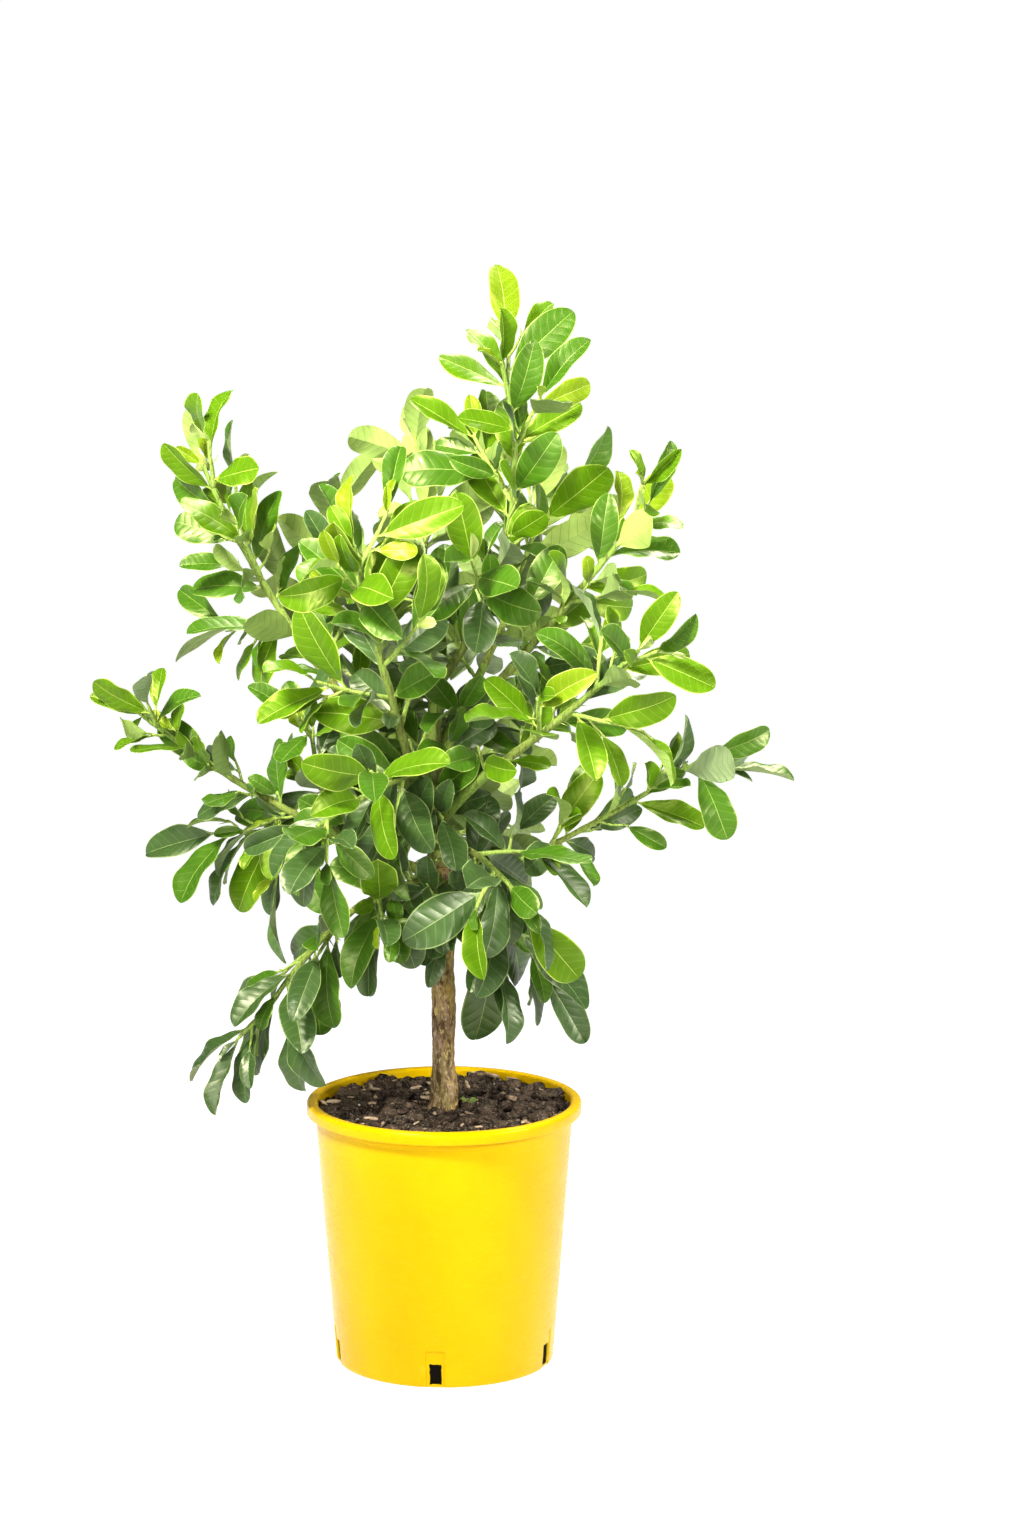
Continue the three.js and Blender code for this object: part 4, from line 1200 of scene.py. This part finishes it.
def leaf_shape(group, vein_depth):
    """Many leaves joined: slot 0 above, 1 below, 2 for the midrib, margin and stalk, 3 and 4
    for the veins above and below. Both sides are split along the same diagonals, so that
    neither comes through the other."""
    kinds = leaf_stations()[1]
    stations = len(kinds)
    quads = grid_faces(stations, RING)
    station, corner = np.divmod(np.arange(len(quads)), RING)
    below = corner[:, None] >= UPPER_CORNERS
    faces = np.concatenate([
        np.where(below, quads[:, [0, 1, 3]], quads[:, [0, 1, 2]]),
        np.where(below, quads[:, [1, 2, 3]], quads[:, [0, 2, 3]])])
    in_vein = (kinds[station] < 0) & (kinds[station + 1] < 0)
    slots = np.where(corner < UPPER_CORNERS, np.where(in_vein, 3, 0), np.where(in_vein, 4, 1))
    on_rib_or_margin = np.isin(corner, [2, UPPER_CORNERS - 1, RING - 1])
    slots = np.where(on_rib_or_margin | (station < len(BLADE["stalk_rings"]) - 1), 2, slots)
    starts = (np.arange(len(group)) * stations * RING)[:, None, None]
    ring = np.arange(RING)
    caps = np.stack([ring, ring[::-1] + (stations - 1) * RING])
    shape = Shape()
    vertices = leaf_vertices(group, vein_depth)
    shape.add(vertices, (faces + starts).reshape(-1, 3), np.tile(slots, 2 * len(group)))
    shape.more((caps + starts).reshape(-1, RING), 2)
    return shape


def set_habit(leaf, number, tilt=0.0):
    """A leaf's own fold, arch, twist, curl and roll, by its age and by chance. A tilt takes
    its heading to one side, and well behind the trunk it faces away from the pot's axis."""
    luck = [chance(number, 91, salt) for salt in range(8)]
    young = leaf["youth"] > HABIT["young_from"]
    face = leaf.setdefault("facing", leaf["face"])
    if leaf["root"][1] > HABIT["behind"]:
        face = unit(leaf["root"] * (1, 1, 0)) + LEAF["face_up"] * UP
    if tilt:
        leaf["heading"] = open_from(leaf["heading"], tilt, 360 * luck[7])
    leaf["face"] = unit(face - face.dot(leaf["heading"]) * leaf["heading"])
    leaf["luck"] = luck[0]
    leaf["fold"] = math.radians(mix(*HABIT["fold"], luck[1]) + (HABIT["young_fold"] if young else 0))
    leaf["arch"] = mix(*HABIT["arch"], luck[2])
    leaf["twist"] = math.radians(mix(*HABIT["twist"], luck[3]))
    leaf["curl"] = mix(*HABIT["curl"], luck[4])
    roll = math.radians(mix(*HABIT["roll"], luck[5]))
    across = np.cross(leaf["face"], leaf["heading"])
    leaf["face"] = math.cos(roll) * leaf["face"] + math.sin(roll) * across


def set_tint(leaf, number):
    """A leaf's tint: lighter towards the top, partly for the youth of the upper leaves and partly as
    painted light, lighter at the tips for their youth, with painted shade inside the crown and painted
    light outside it, and by spray.
    """
    rule = TINT_RULE
    height = np.clip((leaf["root"][2] - rule["lowest"]) / rule["rise"], 0, 1)
    small = np.clip((rule["small"] - leaf["length"]) / rule["small_range"], 0, 1)
    outside = np.clip(math.hypot(leaf["root"][0], leaf["root"][1]) / rule["outside"], 0, 1)
    # Darker low down, partly for the age of the lower leaves and partly as painted shade under the crown
    level = mix(*rule["level"], height) + mix(*rule["spread"], height) * (chance(number, 91, 6) - 0.5)
    level += rule["small_gain"] * small * leaf["youth"]
    # Painted shade on leaves near the pot's axis and painted light on those outside, faded at the foot and
    # top
    painted_light_outside = rule["outside_painted_light"] * min(rule["low_fade"] * height, 1 - height)
    level += mix(rule["inside_painted_shade"], painted_light_outside, outside)
    level += rule["spray_spread"] * (leaf["shoot"].get("luck", 0.5) - 0.5)
    leaf["tint"] = int(np.clip(round(level), 0, len(TINTS) - 1))


def give_habits():
    """Each spray's own luck, and the habit and the tint of each leaf."""
    for mass_number, (_, shoots) in enumerate(sprays):
        for shoot_number, shoot in numbered(shoots):
            shoot["luck"] = chance(mass_number, shoot_number, 33)
    for number, leaf in enumerate(leaves):
        set_habit(leaf, number)
        set_tint(leaf, number)


def blade_tree(leaf):
    """The box of a leaf, and the search tree of its triangles past its stalk."""
    shape = leaf_shape([leaf], TINTS[leaf["tint"]].vein_depth)
    spots, triangles = shape.vertices[0], shape.faces[0]
    triangles = triangles[(triangles >= SETTLE["stalk_rings"] * RING).all(axis=1)]
    return spots.min(axis=0), spots.max(axis=0), BVHTree.FromPolygons(spots.tolist(), triangles.tolist())


def search_tree(piece):
    """The search tree of a built piece, in millimetres."""
    spots = np.empty(3 * len(piece.data.vertices))
    piece.data.vertices.foreach_get("co", spots)
    faces = [tuple(face.vertices) for face in piece.data.polygons]
    return BVHTree.FromPolygons((spots.reshape(-1, 3) / MM).tolist(), faces)


def settle_leaves():
    """Draws a leaf that comes through others or through wood again, each time tilted further
    and a little smaller, and keeps what comes through least. The finer growth, added last,
    gives way."""
    bark = [search_tree(piece) for piece in wood]
    boxes = [blade_tree(leaf) for leaf in leaves]
    lows = np.array([box[0] for box in boxes])
    highs = np.array([box[1] for box in boxes])
    trees = [box[2] for box in boxes]

    def crossed(number):
        near = np.all((lows[number] < highs) & (highs[number] > lows), axis=1)
        near[number] = False
        others = bark + [trees[other] for other in np.flatnonzero(near)]
        return sum(len(trees[number].overlap(other)) for other in others)

    for number in reversed(range(len(leaves))):
        least = crossed(number)
        for attempt in range(1, SETTLE["tries"] + 1):
            if not least:
                break
            kept = dict(leaves[number]), lows[number].copy(), highs[number].copy(), trees[number]
            leaves[number]["length"] *= SETTLE["shrink"]
            leaves[number]["width"] *= SETTLE["shrink"]
            set_habit(leaves[number], number + SETTLE["seed_step"] * attempt, SETTLE["tilt"] * attempt)
            lows[number], highs[number], trees[number] = blade_tree(leaves[number])
            now = crossed(number)
            if now < least:
                least = now
            else:
                leaves[number], lows[number], highs[number], trees[number] = kept


def sprout_shape():
    """The weed seedling beside the trunk: small leaves that open from one foot."""
    group = []
    for number in range(SPROUT["leaves"]):
        heading = direction((number * GOLDEN, mix(*SPROUT["rise"], chance(number, 3, 3))))
        leaf = {"root": np.array(SPROUT["foot"]), "heading": heading, "youth": 0.5,
                "face": unit(UP - UP.dot(heading) * heading), "length": SPROUT["leaf"],
                "width": SPROUT["width_share"] * SPROUT["leaf"]}
        set_habit(leaf, number)
        group.append(leaf)
    return leaf_shape(group, SPROUT["vein_depth"])


def build_leaves():
    """One piece for each tint, with all its leaves, and the sprout on the soil."""
    materials = [leaf_materials(tint) for tint in TINTS]
    for number, tint in enumerate(TINTS):
        group = [leaf for leaf in leaves if leaf["tint"] == number]
        shape = leaf_shape(group, tint.vein_depth)
        shape.build(f"leaves_{tint.name}", materials[number], "leaf", FOLIAGE, crease=BLADE["crease"])
    sprout_shape().build("soil_sprout", materials[SPROUT["tint"]], "soil", ["soil"])


give_habits()
green = wood_material("bark_green", "#7a983a", "#8a7643", "#aaa46a", 420, 0.0005, 0.4)
fresh = wood_material("bark_fresh", "#a0ba54", "#86a442", "#bccc84", 500, 0.0003, 0.3)
build_trunk(trunk_material())
build_boughs(green)
build_shoots(green, fresh)
settle_leaves()
build_leaves()
build_thorns_and_buds(fresh)


# Pot and soil


def pot_radius(height):
    """The radius outside the wall at a height: an even taper from the foot to the neck."""
    return mix(POT["foot_radius"], POT["neck_radius"], height / (POT["height"] - POT["lip_height"]))


def inner_radius(height):
    """The radius inside the wall at a height, as in the part's source."""
    foot = pot_radius(POT["floor"]) - POT["wall"]
    wall_height = POT["height"] - POT["lip_round"] - POT["floor"]
    return mix(foot, POT["neck_radius"] - POT["wall"], (height - POT["floor"]) / wall_height)


def arc(x, y, radius, start, end, count):
    """Points of a rounded edge in a profile, between two angles in degrees."""
    turn = np.radians(np.linspace(start, end, count))
    return np.stack([x + radius * np.cos(turn), y + radius * np.sin(turn)], axis=1)


def hole_rows():
    """The heights of the rows at a drainage hole, evenly spaced."""
    return np.linspace(SLOT["lift"], SLOT["lift"] + SLOT["height"], SLOT["rows"])


def half_angle(width):
    """Half the angle in degrees that a width takes up round the pot's foot."""
    return math.degrees(width / 2 / POT["foot_radius"])


def pot_profile():
    """The pot's section as radius and height: out along the underside, up the wall, round
    the lip and down the inner wall; and which of its rows bound the holes."""
    under_lip = POT["height"] - POT["lip_height"]
    lip_flat = POT["height"] - POT["lip_round"]
    lip_round, neck, gap = POT["lip_round"], POT["neck_radius"], POT["axis_gap"]
    panel = SLOT["panel_height"]
    step = under_lip - POT["step_drop"]
    heights = np.concatenate([
        hole_rows(), [panel - SLOT["panel_rows"][0], panel - SLOT["edge"], panel],
        np.linspace(panel + SLOT["panel_rows"][1], step - 1, POT["wall_rows"])])
    wall = np.stack([pot_radius(heights), heights], axis=1)
    ledge = pot_radius(step)
    lip_foot = (POT["lip_radius"] - LIP_EDGE["inset"], under_lip + LIP_EDGE["lift"])
    lip = np.vstack([
        [[ledge, step], [ledge + POT["step_depth"], step + POT["step_depth"]]],
        [[neck + POT["step_depth"], under_lip - POT["lip_gap"]]],
        arc(*lip_foot, LIP_EDGE["round"], -90, -10, 4),
        arc(POT["lip_radius"] - lip_round, lip_flat, lip_round, 0, 90, 7),
        arc(inner_radius(lip_flat) + lip_round, lip_flat, lip_round, 90, 180, 7),
    ])
    inner_heights = np.concatenate([
        [lip_flat - LIP_EDGE["inner_drop"]], POT["inner_rows"], hole_rows()[::-1], [POT["floor"]]])
    inside = np.stack([inner_radius(inner_heights), inner_heights], axis=1)
    foot_round = POT["foot_round"]
    foot = arc(POT["foot_radius"] - foot_round, foot_round, foot_round, -90, -12, 5)
    ring_in, ring_out = (POT["foot_radius"] - inset for inset in POT["foot_ring"])
    under = [[gap, POT["hollow"]], [ring_in, POT["hollow"]], [ring_out, 0]]
    profile = np.vstack([under, foot, wall, lip, inside, [[gap, POT["floor"]]]])
    first_outer = len(under) + len(foot)
    first_inner = first_outer + len(wall) + len(lip) + 1 + len(POT["inner_rows"])
    return profile, first_outer, first_inner


def pot_headings():
    """Headings of the columns round the pot, closer at each slot, and the hole's first one."""
    edge = math.degrees(SLOT["edge"] / POT["foot_radius"])
    panel, hole = half_angle(SLOT["panel_width"]), half_angle(SLOT["width"])
    sector_end = 180 / SLOT["count"]
    between = np.linspace(panel, sector_end, SLOT["columns_between"])[:-1]
    half = np.concatenate([np.linspace(hole, panel - edge, 2), between])
    inside = np.linspace(-hole, hole, SLOT["columns"])
    sector = np.concatenate([[-sector_end], -half[::-1], inside[1:-1], half])
    starts = SLOT["first_heading"] + np.arange(SLOT["count"]) * 360 / SLOT["count"]
    return (starts[:, None] + sector).ravel(), sector, len(half)


def hole_edge(first_row, first_column):
    """The rows and columns of the corners round a hole in the outer wall, in their order."""
    rows, last_column = SLOT["rows"], first_column + SLOT["columns"] - 1
    last_row = first_row + rows - 1
    edge = [(first_row + row, first_column) for row in range(rows)]
    edge += [(last_row, column) for column in range(first_column + 1, last_column + 1)]
    edge += [(first_row + row, last_column) for row in range(rows - 2, -1, -1)]
    edge += [(first_row, column) for column in range(last_column - 1, first_column, -1)]
    return np.array(edge)


def build_pot(material):
    """The pot: its profile turned about the axis, the shallow panels pressed in, and each
    hole left open, with side faces from the outer to the inner wall and a rough cut edge."""
    profile, first_outer, first_inner = pot_profile()
    headings, sector, hole_start = pot_headings()
    rows, columns = len(profile), len(headings)
    row_numbers = np.arange(rows)[:, None]
    radius = np.repeat(profile[:, :1], columns, axis=1)
    height = np.repeat(profile[:, 1:], columns, axis=1)
    turn = np.radians(headings)[None].repeat(rows, axis=0)
    in_panel = np.tile(abs(sector) < half_angle(SLOT["panel_width"]) - 1e-6, SLOT["count"])[None]
    low = height < SLOT["panel_height"] - 0.5 * SLOT["edge"]
    outside = (row_numbers < first_inner) & (row_numbers >= POT["under_rows"])
    radius = radius - SLOT["panel_depth"] * (in_panel & (low & outside))
    slow_height, fast_height = POT["wobble_heights"]
    slow = np.sin(2 * turn + POT["wobble_share"]) * np.sin(height / slow_height)
    fast = POT["wobble_share"] * np.sin(5 * turn + height / fast_height)
    radius = radius + POT["wobble"] * (slow + fast) * (row_numbers >= first_outer)
    keep = np.ones((rows - 1, columns), bool)
    sides = []
    for slot in range(SLOT["count"]):
        left = slot * len(sector) + hole_start
        outer = hole_edge(first_outer, left)
        last_inner = first_inner + SLOT["rows"] - 1
        facing = np.stack([last_inner - (outer[:, 0] - first_outer), outer[:, 1]], axis=1)
        ragged = np.stack([chance(np.arange(len(outer)), slot, salt) - 0.5 for salt in (1, 2)])
        for first, edge in ((first_outer, outer), (first_inner, facing)):
            keep[first:first + SLOT["rows"] - 1, left:left + SLOT["columns"] - 1] = False
            turn[edge[:, 0], edge[:, 1]] += SLOT["rough"] * ragged[0] / POT["foot_radius"]
            height[edge[:, 0], edge[:, 1]] += SLOT["rough"] * ragged[1]
        ends = [edge[:, 0] * columns + edge[:, 1] for edge in (outer, facing)]
        sides.append(np.stack([ends[0], np.roll(ends[0], -1), np.roll(ends[1], -1), ends[1]], axis=1))
    spots = np.stack([radius * np.cos(turn), radius * np.sin(turn), height], axis=-1)
    shape = Shape()
    shape.add(spots, grid_faces(rows, columns)[keep.ravel()])
    shape.more(np.concatenate(sides))
    shape.close_ends(rows, columns)
    turn_outwards(shape.build("pot_wall", [material], "pot", ["pot"], crease=POT["crease"]))


def turn_outwards(piece):
    """Clears a piece of the corners that no face uses, and turns all its faces outwards."""
    form = bmesh.new()
    form.from_mesh(piece.data)
    loose = [vertex for vertex in form.verts if not vertex.link_faces]
    bmesh.ops.delete(form, geom=loose, context="VERTS")
    bmesh.ops.recalc_face_normals(form, faces=form.faces)
    form.to_mesh(piece.data)
    form.free()


def soil_height(x, y):
    """The soil's height: coarse lumps, clods and crumbs, lower right at the trunk."""
    away = (np.hypot(x, y) - SOIL["flat_radius"]) / SOIL["rise"]
    away = np.clip(away, SOIL["flat_share"], 1)
    lumps, crumbs, grains = (
        smooth_noise(x / SOIL[width], y / SOIL[width], seed) - 0.5
        for width, seed in (("lump_width", 3), ("crumb_width", 7), ("grain_width", 9)))
    clods = abs(smooth_noise(x / SOIL["clod_width"], y / SOIL["clod_width"], 5) - 0.5) * 2
    raised = away * (SOIL["lump"] * lumps + SOIL["clod"] * (clods - SOIL["clod_level"]))
    return SOIL_TOP - SOIL["sink"] + raised + SOIL["crumb"] * crumbs + SOIL["grain"] * grains


def build_soil(material):
    """The soil: a closed plug whose top is a round grid raised by the soil's height. Its ages are painted
    light and shade: more on what stands higher, little in its hollows and none at its floor."""
    rings, sides = SOIL["rings"], SOIL["sides"]
    edge = inner_radius(SOIL_TOP) - SOIL["edge_gap"]
    radius = np.linspace(SOIL["axis_gap"], edge, rings)[:, None]
    turn = -FULL_TURN * np.arange(sides)[None] / sides
    x, y = radius * np.cos(turn), radius * np.sin(turn)
    top = np.stack([x, y, soil_height(x, y)], axis=-1)[::-1]
    floor_radius = inner_radius(POT["floor"]) - SOIL["edge_gap"]
    floor = [floor_radius * np.cos(turn), floor_radius * np.sin(turn), 0 * turn + SOIL["floor"]]
    # Painted light and shade: lighter where the soil stands higher, darker in its hollows, and darkest at
    # its floor so that its sides look shaded through the holes
    painted_light_top = SOIL["painted_light_level"] + SOIL["painted_light_rise"] * (top[..., 2] - SOIL_TOP)
    painted_light = np.concatenate([np.zeros(sides), painted_light_top.ravel()])
    shape = Shape()
    shape.add(np.vstack([np.stack(floor, axis=-1), top]), grid_faces(rings + 1, sides), 0, painted_light)
    shape.close_ends(rings + 1, sides)
    shape.build("soil_bed", [material], "soil", ["soil"], age=True)


def ball():
    """The corners and faces of a ball of 80 triangles."""
    form = bmesh.new()
    bmesh.ops.create_icosphere(form, subdivisions=2, radius=1)
    corners = np.array([vertex.co for vertex in form.verts])
    faces = np.array([[corner.index for corner in face.verts] for face in form.faces])
    form.free()
    return corners, faces


def turned(first, second, angle):
    """Two coordinates turned by an angle."""
    return first * np.cos(angle) - second * np.sin(angle), first * np.sin(angle) + second * np.cos(angle)


def lumps(count, seed, smallest, largest, stretch, sink, rough):
    """Many uneven lumps that lie on the soil: a ball squashed and turned by chance, each
    corner moved in or out by chance."""
    corners, faces = ball()
    number = np.arange(count)
    luck = [chance(number, seed, salt) for salt in range(7)]
    edge = inner_radius(SOIL_TOP) - SOIL["bits_inset"]
    away = edge * np.sqrt(mix(LUMP["inner_share"], 1, luck[0]))
    x, y = away * np.cos(FULL_TURN * luck[1]), away * np.sin(FULL_TURN * luck[1])
    size = mix(smallest, largest, luck[2] ** 2)
    scale = [1 + 0 * size, mix(*LUMP["width"], luck[3]), mix(*LUMP["height"], luck[4])]
    scale = size[:, None] * np.stack(scale, axis=1) * stretch
    bumps = 1 + rough * (chance(number[:, None] + seed, np.arange(len(corners))[None], 3) - 0.5)
    local = corners[None] * scale[:, None] * bumps[..., None]
    spin, tip = FULL_TURN * luck[5], LUMP["tip"] * (luck[6] - 0.5)
    lying, height = turned(local[..., 0], local[..., 2], tip[:, None])
    across, back = turned(lying, local[..., 1], spin[:, None])
    seat = soil_height(x, y) + size * (LUMP["seat"] - sink)
    spots = np.stack([x[:, None] + across, y[:, None] + back, seat[:, None] + height], axis=-1)
    starts = (number * len(corners))[:, None, None]
    shape = Shape()
    # The clods take the painted light of the soil's high places
    shape.add(spots, (faces + starts).reshape(-1, 3), 0, SOIL["bits_painted_light"])
    return shape


def build_soil_bits(material):
    """Clods and crumbs, pale splinters of wood, and white grains."""
    lumps(*CLODS).build("soil_clods", [material], "soil", ["soil"], age=True)
    pale = grain_material("chip_pale", "#8a6e50", "#c9b193")
    lumps(*CHIPS).build("wood_chips", [pale], "soil", ["soil"])
    white = grain_material("grain_white", "#d8d4c8", "#f4f1e8")
    lumps(*GRAINS).build("white_grains", [white], "soil", ["soil"])


build_pot(pot_material())
earth = soil_material()
build_soil(earth)
build_soil_bits(earth)


# Stage


def build_floor():
    """A wide pale floor that glows a little, so that it meets the background unseen."""
    mesh = bpy.data.meshes.new("floor")
    turn = FULL_TURN * np.arange(FLOOR["sides"]) / FLOOR["sides"]
    rim = [FLOOR["radius"] * np.cos(turn), FLOOR["radius"] * np.sin(turn), 0 * turn - FLOOR["drop"]]
    mesh.from_pydata(np.stack(rim, axis=1).tolist(), [], [list(range(FLOOR["sides"]))])
    floor = bpy.data.objects.new("floor", mesh)
    bpy.context.scene.collection.objects.link(floor)
    shader = Shader("floor_white", roughness=0.9, specular_ior_level=0.1, emission_strength=FLOOR_GLOW,
                    emission_color=(1, 1, 1, 1))
    faint = shader.limit(shader.noise(1.5, 2), 0.3, 0.7)
    tone = shader.blend(faint, colour("#a4a4a3"), colour("#a8a8a8"))
    mesh.materials.append(shader.surface(base_color=tone))


def build_lights():
    """Soft light from all round, and the lamps, each pointed at the plant."""
    scene = bpy.context.scene
    world = bpy.data.worlds.new("studio")
    world.use_nodes = True
    background = world.node_tree.nodes["Background"].inputs
    background["Color"].default_value = (1, 1, 1, 1)
    background["Strength"].default_value = WORLD_LIGHT
    scene.world = world
    for name, place, size, power, cone, tone in LAMPS:
        light = bpy.data.lights.new(name, "AREA")
        light.size = size
        light.spread = math.radians(cone)
        light.energy = power
        light.color = tone
        lamp = bpy.data.objects.new(name, light)
        lamp.location = place
        x, y, z = np.array([0, 0, LIT_HEIGHT]) - np.array(place)
        lamp.rotation_euler = (math.atan2(math.hypot(x, y), -z), 0, math.atan2(y, x) - math.pi / 2)
        scene.collection.objects.link(lamp)


def build_camera():
    """The camera of the picture, pitched down towards the plant, and the plain view of it."""
    scene = bpy.context.scene
    lens = bpy.data.cameras.new("camera")
    lens.sensor_fit = "AUTO"
    lens.sensor_width = CAMERA["sensor"]
    lens.lens = CAMERA["lens"]
    camera = bpy.data.objects.new("camera", lens)
    camera.location = CAMERA["place"]
    camera.rotation_euler = (math.radians(90 - CAMERA["pitch"]), 0, 0)
    scene.collection.objects.link(camera)
    scene.camera = camera
    scene.view_settings.view_transform = "Standard"


build_floor()
build_lights()
build_camera()
